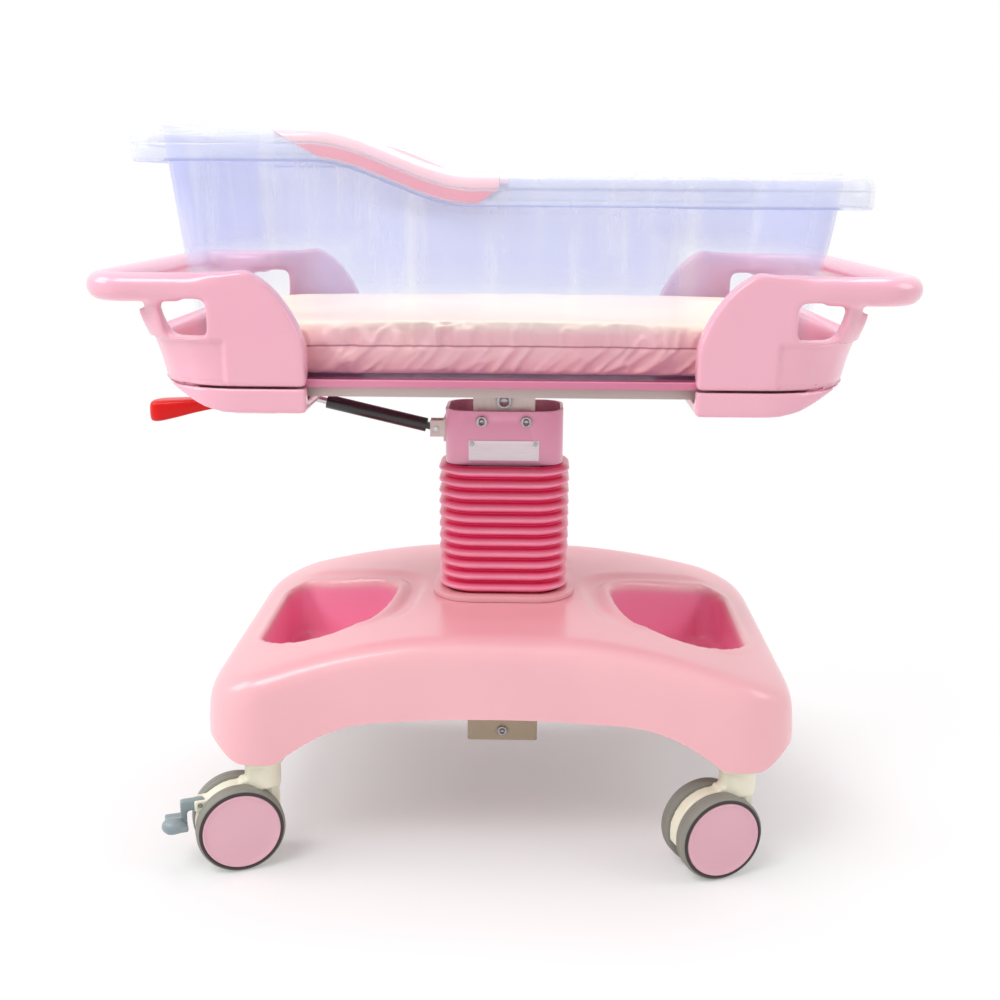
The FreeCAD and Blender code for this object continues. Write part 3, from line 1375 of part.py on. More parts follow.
def tub():
    """One clear moulding: floor, tapered wall and a rim that rolls outward and down."""
    wall = number(S.tub_wall)
    low = number(tub_low)
    above = number(S.rim_high) + 5
    walls = tub_wall(0, low, above).common(under_rim(0, low - 1))
    rim_low = low + number(S.tub_depth) / 2
    full = prism(round_rectangle(number(S.rim_half_x), number(S.rim_half_y), number(S.rim_corner), rim_low),
                 above - rim_low)
    inset = prism(round_rectangle(number(S.rim_half_x) - wall, number(S.rim_half_y) - wall,
                                  number(S.rim_corner) - wall, rim_low), above - rim_low)
    rim = full.common(under_rim(0, rim_low)).cut(under_rim(number(S.rim_depth), rim_low - 1))
    rim = rim.cut(inset.common(under_rim(wall, rim_low)))
    solid = walls.fuse(rim).cut(tub_wall(wall, low + wall, above + 1))
    return solid.removeSplitter()


node("tub", feature("tub_moulding", tub()))


def rim_strip(side):
    """A thin cap over the sloping part of one long rim."""
    thick = number(S.strip_thickness)
    gap = number(S.fit_gap)
    start = -number(S.strip_start)
    end = start + number(S.strip_length)
    inner = number(S.strip_inner)
    outer_y = number(S.rim_half_y) + thick
    low = number(S.rim_low) - number(S.rim_depth)
    past = number(S.past)
    high = number(S.rim_high) + thick + past
    cap = block(start, end, inner, outer_y, low, high)
    cap = cap.common(under_rim(-thick, low).cut(under_rim(number(S.strip_drop), low - past)))
    core = block(start - past, end + past, inner - past, number(S.rim_half_y) + gap, low - past, high)
    cap = cap.cut(core.common(under_rim(-gap, low - past)))
    return cap if side > 0 else cap.mirror(Vector(0, 0, 0), Vector(0, 1, 0))


node("rim_strip_near", feature("rim_strip_near_cap", rim_strip(-1)))
node("rim_strip_far", feature("rim_strip_far_cap", rim_strip(1)))

mattress_low = tub_low + S.tub_wall + S.seat_gap
mattress_body = block_body("mattress_block", S.mattress_half_x, S.mattress_half_y, mattress_low,
                           S.mattress_height, S.mattress_corner)
node("mattress", mattress_body)


# ---------------------------------------------------------------- check and export

doc.recompute()
for obj in doc.Objects:
    if "Invalid" in obj.State or "Error" in obj.State:
        raise RuntimeError(f"{obj.Label} failed: {obj.State}")
for obj in nodes:
    shape = obj.Shape
    if shape.isNull() or not shape.isValid() or not shape.Solids:
        raise RuntimeError(f"{obj.Label} has no valid solid")
    shape.exportStep(f"parts/{obj.Label}.step")
    print(f"{obj.Label:28s} solids {len(shape.Solids)}  volume {shape.Volume / 1000:.1f} cm3")
print(len(nodes), "nodes")
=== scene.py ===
import json
import math

import bpy
from mathutils import Matrix, Vector, noise

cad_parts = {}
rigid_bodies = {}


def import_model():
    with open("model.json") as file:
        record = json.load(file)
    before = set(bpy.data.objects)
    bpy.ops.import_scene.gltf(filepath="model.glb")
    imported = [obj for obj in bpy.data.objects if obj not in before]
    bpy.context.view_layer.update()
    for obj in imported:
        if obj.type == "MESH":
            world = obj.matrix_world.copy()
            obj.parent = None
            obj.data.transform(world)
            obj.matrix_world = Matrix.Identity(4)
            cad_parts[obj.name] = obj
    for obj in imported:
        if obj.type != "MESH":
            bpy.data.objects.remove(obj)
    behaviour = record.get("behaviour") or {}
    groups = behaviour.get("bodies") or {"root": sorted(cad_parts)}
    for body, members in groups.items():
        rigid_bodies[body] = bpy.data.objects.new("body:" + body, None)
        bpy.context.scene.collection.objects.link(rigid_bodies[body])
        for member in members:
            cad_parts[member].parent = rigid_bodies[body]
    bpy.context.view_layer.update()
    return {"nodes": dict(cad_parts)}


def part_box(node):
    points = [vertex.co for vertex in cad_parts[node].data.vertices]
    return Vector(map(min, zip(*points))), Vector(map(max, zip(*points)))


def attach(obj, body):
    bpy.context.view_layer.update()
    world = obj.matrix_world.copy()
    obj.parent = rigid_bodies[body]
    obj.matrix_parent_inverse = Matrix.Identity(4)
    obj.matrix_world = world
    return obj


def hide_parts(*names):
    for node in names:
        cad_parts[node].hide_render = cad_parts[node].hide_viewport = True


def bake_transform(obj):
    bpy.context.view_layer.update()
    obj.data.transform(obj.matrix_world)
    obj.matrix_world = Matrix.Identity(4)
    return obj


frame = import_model()
mm = 0.001
origin = (0, 0, 0)


# working habits: picking, merging, finishing

def take(piece):
    bpy.ops.object.select_all(action="DESELECT")
    piece.select_set(True)
    bpy.context.view_layer.objects.active = piece
    return piece


def added(name):
    # the primitive that was just added, under its own name
    piece = bpy.context.active_object
    piece.name = name
    piece.data.name = name
    return take(piece)


def editing():
    # goes into edit mode with the whole piece selected
    bpy.ops.object.mode_set(mode="EDIT")
    bpy.ops.mesh.select_all(action="SELECT")


def doneEditing():
    bpy.ops.object.mode_set(mode="OBJECT")


def pickFaces(piece, test):
    # selects faces in edit mode by their centre and normal
    doneEditing()
    mesh = piece.data
    for part in (mesh.vertices, mesh.edges, mesh.polygons):
        part.foreach_set("select", [False] * len(part))
    bpy.ops.object.mode_set(mode="EDIT")
    bpy.context.tool_settings.mesh_select_mode = (False, False, True)
    doneEditing()
    for face in mesh.polygons:
        face.select = bool(test(face.center, face.normal))
    bpy.ops.object.mode_set(mode="EDIT")


def pickOpenEdge(mode):
    # selects, in edit mode, the border of what is open
    bpy.ops.mesh.select_all(action="DESELECT")
    bpy.ops.mesh.select_mode(type=mode)
    bpy.ops.mesh.select_non_manifold(extend=False, use_wire=False, use_boundary=True, use_multi_face=False,
                                     use_non_contiguous=False, use_verts=False)


def extrudeBy(across, up):
    bpy.ops.mesh.extrude_region_move(TRANSFORM_OT_translate={"value": (0, across, up)})


def resizeBy(x, y, z=1, centre=origin):
    bpy.ops.transform.resize(value=(x, y, z), center_override=centre)


def fixPlace(piece):
    # puts the piece's place, turn and size into its mesh
    take(piece)
    bpy.ops.object.transform_apply(location=True, rotation=True, scale=True)


def mergeAndFace(piece, gap=0.00001, facing=True):
    take(piece)
    editing()
    bpy.ops.mesh.remove_doubles(threshold=gap)
    if facing:
        bpy.ops.mesh.normals_make_consistent(inside=False)
    doneEditing()


def bakeModifiers(piece):
    take(piece)
    for modifier in list(piece.modifiers):
        bpy.ops.object.modifier_apply(modifier=modifier.name)


def smoother(piece, times, group=""):
    even = piece.modifiers.new("even", "SMOOTH")
    even.iterations = times
    even.vertex_group = group


def newSkin(piece, grain, smoothing=0):
    # wraps the piece in one even skin and eases it
    skin = piece.modifiers.new("skin", "REMESH")
    skin.mode = "VOXEL"
    skin.voxel_size = grain * mm
    if smoothing:
        smoother(piece, smoothing)
    bakeModifiers(piece)


def thickened(piece, wall):
    # gives a bare skin its wall, inward
    inward = piece.modifiers.new("wall", "SOLIDIFY")
    inward.thickness = wall * mm
    inward.offset = -1
    bakeModifiers(piece)


def shadeByAngle(degrees):
    bpy.ops.object.shade_smooth_by_angle(angle=math.radians(degrees))


def copyOfNode(nodeName, name):
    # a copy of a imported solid's mesh, merged, to be dressed
    piece = bpy.data.objects.new(name, frame["nodes"][nodeName].data.copy())
    piece.data.name = name
    piece.data.materials.clear()
    bpy.context.scene.collection.objects.link(piece)
    take(piece)
    if piece.data.has_custom_normals:
        bpy.ops.mesh.customdata_custom_splitnormals_clear()
    mergeAndFace(piece, 0.00002, facing=False)
    return piece


def softMoulding(nodeName, name, grain, smoothing):
    # remeshes a solid finely and eases its edges, as a moulding comes out
    piece = copyOfNode(nodeName, name)
    newSkin(piece, grain, smoothing)
    bpy.ops.object.shade_smooth()
    return piece


def easedCopy(nodeName, name, width):
    # a metal or pressed part with its edges broken
    piece = copyOfNode(nodeName, name)
    editing()
    bpy.ops.mesh.dissolve_limited(angle_limit=math.radians(1.0))
    doneEditing()
    edges = piece.modifiers.new("edges", "BEVEL")
    edges.width = width * mm
    edges.segments = 2
    edges.limit_method = "ANGLE"
    edges.angle_limit = math.radians(32)
    bakeModifiers(piece)
    shadeByAngle(35)
    return piece


def joined(first, *others):
    take(first)
    for piece in others:
        piece.select_set(True)
    bpy.ops.object.join()
    return first


def moveEach(piece, move):
    # moves each point to where the shape needs it
    for point in piece.data.vertices:
        point.co = move(point.co)
    piece.data.update()


def paint(piece, name, valueAt):
    # gives each point a value of the piece's own, for its finish to read
    layer = piece.data.attributes.new(name, "FLOAT", "POINT")
    layer.data.foreach_set("value", [float(valueAt(point.co)) for point in piece.data.vertices])


def ease(t):
    t = min(1.0, max(0.0, t))
    return t * t * (3 - 2 * t)


def shareOf(value, low, high):
    return (value - low) / (high - low)


def between(low, high, share):
    return low + (high - low) * share


def halfSizes(spot):
    # a point in millimetres, as if it lay in the quarter where x and y are positive
    return abs(spot.x) / mm, abs(spot.y) / mm, spot.z / mm


def finishPiece(piece, body, material, slotName, *nodes):
    fixPlace(piece)
    piece.data.materials.clear()
    piece.data.materials.append(material)
    if body:
        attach(piece, body)
    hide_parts(*nodes)


def copyPiece(piece, name, place):
    twin = piece.copy()
    twin.data = piece.data.copy()
    twin.name = name
    twin.data.name = name
    twin.data.transform(place)
    bpy.context.scene.collection.objects.link(twin)
    return twin


def turned(name, profile):
    # spins a closed profile of (radius, height) points about Z
    bpy.ops.mesh.primitive_circle_add(vertices=len(profile), radius=0.01, fill_type="NOTHING")
    piece = added(name)
    for point, (radius, height) in zip(piece.data.vertices, profile):
        point.co = (radius * mm, 0, height * mm)
    editing()
    bpy.ops.mesh.spin(steps=96, angle=math.tau, center=origin, axis=(0, 0, 1))
    doneEditing()
    mergeAndFace(piece, 0.00002)
    shadeByAngle(38)
    return piece


def roundedPlate(name, halfX, halfY, corner, height, steps):
    # a flat face with round corners, at its size and height
    bpy.ops.mesh.primitive_plane_add(size=2, location=(0, 0, height * mm))
    piece = added(name)
    piece.scale = (halfX * mm, halfY * mm, 1)
    fixPlace(piece)
    editing()
    bpy.ops.mesh.bevel(offset=corner * mm, segments=steps, affect="VERTICES")
    doneEditing()
    return piece


# finishes

def linear(shade):
    # an 8-bit screen colour as the renderer's own numbers
    parts = [c / 255 for c in shade]
    return tuple(c / 12.92 if c <= 0.04045 else ((c + 0.055) / 1.055) ** 2.4 for c in parts) + (1.0,)


def feed(node, sockets):
    # a number or colour goes to the socket itself, and anything else is linked to it
    for name, value in sockets.items():
        if isinstance(value, (float, int, tuple)):
            node.inputs[name].default_value = value
        else:
            node.id_data.links.new(value, node.inputs[name])


def newNode(tree, kind, sockets, **settings):
    node = tree.nodes.new("ShaderNode" + kind)
    for name, value in settings.items():
        setattr(node, name, value)
    feed(node, sockets)
    return node


def bareMaterial(name):
    material = bpy.data.materials.new(name)
    material.use_nodes = True
    tree = material.node_tree
    place = newNode(tree, "TexCoord", {}).outputs["Object"]
    return material, tree, tree.nodes["Principled BSDF"], place


def noiseFrom(tree, place, scale, detail=2.0, roughness=0.5, stretch=None):
    if stretch:
        place = newNode(tree, "Mapping", {"Scale": stretch, "Vector": place}).outputs["Vector"]
    sockets = {"Scale": scale, "Detail": detail, "Roughness": roughness, "Vector": place}
    return newNode(tree, "TexNoise", sockets).outputs["Fac"]


def ranged(tree, value, low, high, fromLow=0.3, fromHigh=0.7):
    sockets = {"From Min": fromLow, "From Max": fromHigh, "To Min": low, "To Max": high, "Value": value}
    return newNode(tree, "MapRange", sockets).outputs["Result"]


def mixed(tree, factor, first, second):
    return newNode(tree, "Mix", {0: factor, 6: first, 7: second}, data_type="RGBA").outputs[2]


def combined(tree, operation, first, second=0.0):
    return newNode(tree, "Math", {0: first, 1: second}, operation=operation).outputs[0]


def ownValue(tree, name):
    # what a piece's own attribute of that name says
    return newNode(tree, "Attribute", {}, attribute_name=name).outputs["Fac"]


def placeParts(tree, place):
    return newNode(tree, "SeparateXYZ", {0: place}).outputs


def bumped(tree, shader, height, strength, distance, before=None):
    sockets = {"Strength": strength, "Distance": distance, "Height": height}
    if before:
        sockets["Normal"] = before
    normal = newNode(tree, "Bump", sockets).outputs["Normal"]
    feed(shader, {"Normal": normal})
    return normal


def mouldedPlastic(name, shade, deeper, rough=0.3, coat=0.35, grainDepth=0.006, hollow=None):
    # moulded plastic: faint clouding, fine grain, a gloss that changes a little
    material, tree, shader, place = bareMaterial(name)
    cloud = ranged(tree, noiseFrom(tree, place, 6.0, 3), 0.0, 1.0)
    colour = mixed(tree, cloud, linear(shade), linear(deeper))
    # painted shade: a deeper pink laid into the wells, as far as the piece's own attribute marks their depth
    if hollow:
        colour = mixed(tree, ownValue(tree, "hollow"), colour, linear(hollow))
    speck = ranged(tree, noiseFrom(tree, place, 700, 2), 0.0, 0.04, 0.5, 0.8)
    feed(shader, {
        "Base Color": mixed(tree, speck, colour, linear(deeper)),
        "Roughness": ranged(tree, noiseFrom(tree, place, 60, 4), rough * 0.97, rough * 1.03),
        "Coat Weight": coat, "Coat Roughness": 0.12})
    bumped(tree, shader, noiseFrom(tree, place, 420, 3), grainDepth, 0.0004)
    return material


def metalFinish(name, shade, darker, rough=0.3, metallic=1.0, stretch=(1, 1, 40)):
    # brushed or plated metal
    material, tree, shader, place = bareMaterial(name)
    lines = noiseFrom(tree, place, 60, 4, 0.6, stretch)
    feed(shader, {
        "Base Color": mixed(tree, ranged(tree, lines, 0.0, 1.0), linear(shade), linear(darker)),
        "Roughness": ranged(tree, noiseFrom(tree, place, 35, 4), rough * 0.75, rough * 1.3),
        "Metallic": metallic})
    bumped(tree, shader, lines, 0.06, 0.0004)
    return material


# the base's extra colour is painted shade for the hollows of its wells
basePink = mouldedPlastic("basePink", (246, 187, 193), (242, 179, 187), 0.32, 0.35, hollow=(254, 160, 194))
housingPink = mouldedPlastic("housingPink", (241, 178, 196), (236, 170, 189), 0.26, 0.45)
capPink = mouldedPlastic("capPink", (234, 182, 196), (227, 173, 188), 0.34, 0.3)
trayPink = mouldedPlastic("trayPink", (218, 132, 162), (206, 116, 148), 0.3, 0.4)
collarMauve = mouldedPlastic("collarMauve", (242, 172, 200), (234, 160, 190), 0.32, 0.35)
forkCream = mouldedPlastic("forkCream", (246, 243, 222), (238, 234, 210), 0.34, 0.25)
tyreGrey = mouldedPlastic("tyreGrey", (150, 148, 138), (134, 132, 124), 0.6, 0.0, grainDepth=0.15)
ringDark = mouldedPlastic("ringDark", (62, 50, 50), (46, 36, 38), 0.45, 0.1)
pedalGrey = mouldedPlastic("pedalGrey", (146, 160, 164), (130, 146, 152), 0.4, 0.2)
leverRed = mouldedPlastic("leverRed", (216, 0, 0), (196, 0, 0), 0.3, 0.0)
feed(leverRed.node_tree.nodes["Principled BSDF"], {"Specular IOR Level": 0.3})
bushWhite = mouldedPlastic("bushWhite", (226, 224, 216), (214, 212, 204), 0.5, 0.0)
blockCream = mouldedPlastic("blockCream", (206, 194, 168), (192, 178, 150), 0.5, 0.05, grainDepth=0.1)
frameGrey = mouldedPlastic("frameGrey", (208, 196, 190), (194, 182, 176), 0.45, 0.1, grainDepth=0.12)
postGrey = metalFinish("postGrey", (228, 222, 214), (212, 206, 198), 0.4, 0.15, (1, 1, 0.05))
springBlack = mouldedPlastic("springBlack", (30, 30, 32), (18, 18, 20), 0.28, 0.4)
chrome = metalFinish("chrome", (214, 214, 216), (186, 186, 190), 0.16)
screwSteel = metalFinish("screwSteel", (188, 188, 190), (150, 150, 154), 0.28, 1.0, (8, 8, 1))
plateSilver = metalFinish("plateSilver", (246, 242, 246), (238, 234, 240), 0.36, 0.1, (0.6, 1, 12))
print("finishes ready")


def stripFinish():
    # two pinks in one strip as painted light: a pale, lit pink with its highlight on the dome, and a deeper
    # pink of painted shade on the upright face that the piece's own attribute marks
    material, tree, shader, place = bareMaterial("stripPink")
    cloud = ranged(tree, noiseFrom(tree, place, 16, 3), 0.0, 1.0)
    pale = mixed(tree, cloud, linear((255, 214, 222)), linear((253, 204, 214)))
    deep = mixed(tree, cloud, linear((250, 164, 182)), linear((244, 150, 172)))
    feed(shader, {
        "Base Color": mixed(tree, ownValue(tree, "band"), pale, deep),
        "Roughness": ranged(tree, noiseFrom(tree, place, 30, 3), 0.16, 0.26),
        "Coat Weight": 0.5})
    bumped(tree, shader, noiseFrom(tree, place, 300, 2), 0.04, 0.0003)
    return material


def clearTubFinish():
    # tinted clear plastic: denser at its edges and rim, with pale upright streaks of painted reflection, a
    # rim tinted whiter as painted highlight and a line of painted shade along the rim's lower edge and
    # groove; clearer by the mattress
    material, tree, shader, place = bareMaterial("tubClear")
    rim, edge = ownValue(tree, "rim"), ownValue(tree, "edge")
    parts = placeParts(tree, place)
    cloud = ranged(tree, noiseFrom(tree, place, 5, 3), 0.0, 1.0)
    tint = mixed(tree, cloud, linear((214, 221, 255)), linear((200, 206, 250)))
    # painted reflection: pale upright streaks of near white in the tint
    reflectionStreak = ranged(tree, noiseFrom(tree, place, 34, 3, 0.6, (1, 1, 0.07)), 0.0, 0.8, 0.52, 0.74)
    wall = mixed(tree, reflectionStreak, tint, linear((246, 249, 255)))
    # painted highlight: the rim is tinted toward white
    body = mixed(tree, ranged(tree, rim, 0.0, 0.7, 0.0, 1.0), wall, linear((250, 253, 255)))

    facing = newNode(tree, "LayerWeight", {"Blend": 0.3}).outputs["Facing"]
    dense = ranged(tree, facing, 0.3, 0.8, 0.0, 1.0)
    ends = ranged(tree, combined(tree, "ABSOLUTE", parts["X"]), 1.0, 0.0, 0.18, 0.22)
    above = ranged(tree, parts["Z"], 0.0, 1.0, 0.672, 0.7)
    thinner = ranged(tree, combined(tree, "MAXIMUM", ends, above), 0.28, 1.0, 0.0, 1.0)
    clearer = ranged(tree, rim, 1.0, 0.6, 0.0, 1.0)
    height = ranged(tree, parts["Z"], 0.22, 1.0, 0.615, 0.66)
    under = ranged(tree, parts["Z"], 0.4, 0.0, 0.5585, 0.5625)
    for share in (combined(tree, "MAXIMUM", height, under), thinner, clearer):
        dense = combined(tree, "MULTIPLY", dense, share)
    feed(shader, {
        # painted shade: a darker blue, denser line along the rim's lower edge and its groove
        "Base Color": mixed(tree, edge, body, linear((170, 178, 226))),
        "Alpha": combined(tree, "MAXIMUM", dense, ranged(tree, edge, 0.0, 0.7, 0.0, 1.0)),
        "Roughness": ranged(tree, noiseFrom(tree, place, 18, 3), 0.04, 0.1),
        "IOR": 1.5, "Coat Weight": 0.3})
    bumped(tree, shader, noiseFrom(tree, place, 9, 2, 0.5, (1, 1, 0.3)), 0.08, 0.002)
    return material


def bellowsFinish():
    # rubbery folds coloured by the fold depth, the piece's own attribute, as painted light: deep crimson
    # shade in the valleys and a pale pink lit ridge
    material, tree, shader, place = bareMaterial("bellowsRose")
    cloud = ranged(tree, noiseFrom(tree, place, 20, 3), 0.0, 1.0)
    ridge = mixed(tree, cloud, linear((255, 166, 192)), linear((255, 152, 182)))
    # painted shade in the valleys and painted light on the ridges, by fold depth
    outward = ranged(tree, ownValue(tree, "fold"), 0.0, 1.0, 0.25, 0.9)
    feed(shader, {
        "Base Color": mixed(tree, outward, linear((226, 24, 92)), ridge),
        "Roughness": ranged(tree, noiseFrom(tree, place, 30, 3), 0.28, 0.42),
        "Coat Weight": 0.25})
    bumped(tree, shader, noiseFrom(tree, place, 300, 3), 0.06, 0.0004)
    return material


def mattressFinish():
    # coated cloth: a fine weave under a slight gloss, paler on the top panel, dark along its zip
    material, tree, shader, place = bareMaterial("mattressCloth")
    up = placeParts(tree, place)["Z"]
    cloud = ranged(tree, noiseFrom(tree, place, 9, 4), 0.0, 1.0)
    patch = ranged(tree, noiseFrom(tree, place, 3.2, 2), 0.0, 1.0, 0.4, 0.65)
    side = mixed(tree, cloud, linear((255, 206, 200)), linear((255, 190, 186)))
    top = mixed(tree, patch, linear((250, 236, 206)), linear((246, 216, 194)))
    cloth = mixed(tree, ranged(tree, up, 0.0, 1.0, 0.602, 0.616), side, top)
    zipLow = ranged(tree, up, 0.0, 1.0, 0.5895, 0.5905)
    zipHigh = ranged(tree, up, 1.0, 0.0, 0.5915, 0.5925)
    line = combined(tree, "MULTIPLY", zipLow, zipHigh)
    feed(shader, {
        "Base Color": mixed(tree, line, cloth, linear((196, 104, 116))),
        "Roughness": ranged(tree, noiseFrom(tree, place, 14, 3), 0.34, 0.5),
        "Sheen Weight": 0.25})
    weave = newNode(tree, "TexWave", {"Scale": 900, "Distortion": 1.5, "Vector": place}).outputs["Fac"]
    wrinkle = bumped(tree, shader, noiseFrom(tree, place, 46, 5, 0.6, (1, 1, 0.35)), 0.3, 0.003)
    bumped(tree, shader, weave, 0.06, 0.0003, wrinkle)
    return material


stripPink = stripFinish()
tubClear = clearTubFinish()
bellowsRose = bellowsFinish()
mattressCloth = mattressFinish()


cover = dict(grain=3.8, under=108.0, wall=3.5, archHalf=250.0, archFlat=130.0, archLow=127.0, archHigh=171.5,
             archCrown=3.0, archBow=50.4, crownTop=266.0, crownFrom=92.0, crownTo=334.0, crownFall=58.0,
             crownBow=36.0, legRise=24.0, legFrom=288.0, legTo=334.0, lip=2.6, dish=5.0, nearGrow=68.0,
             endGrow=20.0, outerShrink=16.0, shoulder=140.0, edgeSmoothing=24, cornerSmoothing=92,
             basin=((213.0, 0.0, 57.0), (277.0, 82.0, 28.0), (277.0, -82.0, 28.0)))


def archHeight(x):
    # the cover's lower edge: level under the column, curving down to the legs
    along = abs(x)
    if along < cover["archFlat"]:
        return cover["archHigh"] + cover["archCrown"] * (1 - (along / cover["archFlat"]) ** 2)
    share = min(1.0, shareOf(along, cover["archFlat"], cover["archHalf"]))
    bow = cover["archBow"] * share * (1 - share)
    return between(cover["archHigh"], cover["archLow"], share) + bow


def basinOutline():
    # the well's edge as the hull of its three corner circles, on the foot side
    spots = [Vector((x + r * math.cos(math.tau * i / 48), y + r * math.sin(math.tau * i / 48)))
             for x, y, r in cover["basin"] for i in range(48)]
    spots.sort(key=lambda p: (p.x, p.y))
    halves = []
    for way in (spots, spots[::-1]):
        chain = []
        for spot in way:
            while len(chain) > 1 and (chain[-1] - chain[-2]).cross(spot - chain[-2]) <= 0:
                chain.pop()
            chain.append(spot)
        halves += chain[:-1]
    return halves


def coverHeight(x):
    # the cover's top along its length
    share = max(0.0, shareOf(abs(x), cover["crownFrom"], cover["crownTo"]))
    return cover["crownTop"] - share * (cover["crownFall"] - cover["crownBow"] * (1 - share))


def basinWarp(x, y):
    # brings the well's column end and its near side out to where its lip runs
    along = abs(x)
    if y > 0 or not 100 < along < 312:
        grow = 0.0
    else:
        grow = cover["nearGrow"] * ease((along - 128) / 52) * ease((306 - along) / 104)
    own = max(34.0, 46 + (along - 180) * 0.722) if along < 268 else 110.0
    side, limit = abs(y), 206.0
    if side < own:
        side *= (own + grow) / own
    elif side < limit:
        side = own + grow + (side - own) * (limit - own - grow) / (limit - own)
    if 104 < along < 156:
        along -= cover["endGrow"] * ease((along - 104) / 52) * ease((150 - abs(y)) / 60)
    elif 156 <= along < 240:
        along -= cover["endGrow"] * ease((240 - along) / 84) * ease((150 - abs(y)) / 60)
    elif 240 <= along < 334:
        outer = ease((along - 240) / 62) * ease((334 - along) / 30)
        along -= cover["outerShrink"] * outer * ease((196 - abs(y)) / 60)
    return math.copysign(along, x), math.copysign(side, y)


def distanceFrom(outline, spot):
    # how far a place lies from the outline, less than nothing inside it
    inside = False
    best = math.inf
    for a, b in zip(outline, outline[1:] + outline[:1]):
        if (a.y > spot.y) != (b.y > spot.y) and spot.x < (b.x - a.x) * (spot.y - a.y) / (b.y - a.y) + a.x:
            inside = not inside
        side = b - a
        share = min(1.0, max(0.0, (spot - a).dot(side) / side.length_squared))
        best = min(best, (spot - a - side * share).length)
    return -best if inside else best


def keepOuterSkin(piece):
    # drops what faces down and the inner wall, and closes the skin again
    pickFaces(piece, lambda centre, normal: normal.z < -0.3)
    bpy.ops.mesh.delete(type="FACE")
    doneEditing()
    crown = max(face.center.z for face in piece.data.polygons)
    pickFaces(piece, lambda centre, normal: centre.z > crown - 0.5 * mm and normal.z > 0.9)
    bpy.ops.mesh.select_linked()
    bpy.ops.mesh.select_all(action="INVERT")
    bpy.ops.mesh.delete(type="FACE")
    pickOpenEdge("EDGE")
    bpy.ops.mesh.fill_holes(sides=0)
    doneEditing()
    pickFaces(piece, lambda centre, normal: normal.z < -0.3)
    extrudeBy(0, -0.02)
    resizeBy(1, 1, 0, (0, 0, cover["under"] * mm))
    doneEditing()


def belowArch(centre, normal):
    # the block's underside, and what its outer walls have below the arch
    x, y, z = halfSizes(centre)
    return z < cover["under"] + 6 or (z < archHeight(x) - 0.5 and (x > 320 or y > 172))


def makeBaseCover():
    piece = copyOfNode("base_cover", "baseCover")
    keepOuterSkin(piece)
    newSkin(piece, cover["grain"], 4)
    for point in piece.data.vertices:
        x, y, z = (c / mm for c in point.co)
        if z > cover["shoulder"]:
            newX, newY = basinWarp(x, y)
            lift = (coverHeight(newX) - coverHeight(x)) * ease((z - coverHeight(x) + 20) / 16)
            near = ease((z - cover["shoulder"]) / 8)
            point.co = Vector((x + (newX - x) * near, y + (newY - y) * near, z + lift)) * mm
    newSkin(piece, cover["grain"], 5)
    soft = piece.vertex_groups.new(name="outerEdge")
    corner = piece.vertex_groups.new(name="outerCorner")
    for point in piece.data.vertices:
        x, y, z = (c / mm for c in point.co)
        reach = 168 if y < 0 else 128
        nearBasin = ease((abs(x) - 116) / 18) * ease((306 - abs(x)) / 12) * ease((reach - abs(y)) / 14)
        nearRing = ease((104 - abs(x)) / 8) * ease((84 - abs(y)) / 8)
        soft.add([point.index], (1 - max(nearBasin, nearRing)) * ease((z - 176) / 14), "REPLACE")
        nose = ease((abs(x) - 268) / 50) * ease((abs(y) - 140) / 50) * ease((z - 150) / 30)
        corner.add([point.index], nose, "REPLACE")
    smoother(piece, cover["edgeSmoothing"], "outerEdge")
    smoother(piece, cover["cornerSmoothing"], "outerCorner")
    bakeModifiers(piece)
    pickFaces(piece, belowArch)
    bpy.ops.mesh.delete(type="FACE")
    pickOpenEdge("VERT")
    doneEditing()
    outline = [Vector(basinWarp(*spot)) for spot in basinOutline()]
    for point in piece.data.vertices:
        x, y, z = (c / mm for c in point.co)
        if point.select:
            z = archHeight(x)
        side = ease(shareOf(abs(x), cover["legFrom"], cover["legTo"]))
        z += cover["legRise"] * side * max(0.0, 1 - (z - cover["archLow"]) / 70) ** 1.5
        crown = ease((z - coverHeight(x) + 12) / 8)
        if crown > 0 and 96 < abs(x) < 330 and abs(y) < 190:
            away = distanceFrom(outline, Vector((abs(x), y)))
            ridge = math.exp(-((away - 5) / 5.5) ** 2)
            dish = ease((away - 12) / 8) * ease((40 - away) / 12)
            dish *= ease((286 - abs(x)) / 50) * ease((y + 130) / 60)
            z += crown * (cover["lip"] * ridge - cover["dish"] * dish)
        point.co = Vector((x, y, z)) * mm
    smoother(piece, 3)
    thickened(piece, cover["wall"])
    shadeByAngle(55)
    # painted shade: points in the wells, below the top and near their outline, take a share of the deeper
    # pink that grows with depth
    hollow = piece.data.attributes.new("hollow", "FLOAT", "POINT")
    for i, point in enumerate(piece.data.vertices):
        x, y, z = (c / mm for c in point.co)
        depth = ease((coverHeight(x) - z - 2) / 14)
        well = z > cover["shoulder"] and 90 < abs(x) < 324 and abs(y) < 190
        if depth > 0 and well and point.normal.z > -0.3:
            away = distanceFrom(outline, Vector((abs(x), y)))
            hollow.data[i].value = depth * ease((26 - away) / 8)
    finishPiece(piece, "base", basePink, "cover_pink", "base_cover")
    print("base cover", len(piece.data.polygons))


makeBaseCover()


def socketHeads(piece, edgeWidth, depth):
    # a round recess in each head that faces the near side
    front = min(point.co.y for point in piece.data.vertices)
    pickFaces(piece, lambda middle, normal: normal.y < -0.95 and middle.y < front + 0.0006)
    bpy.ops.mesh.inset(thickness=edgeWidth * mm, depth=0)
    extrudeBy(depth * mm, 0)
    doneEditing()


def carryOver(nodeName, material):
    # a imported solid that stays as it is, under its own finish
    node = frame["nodes"][nodeName]
    node.data.materials.clear()
    node.data.materials.append(material)


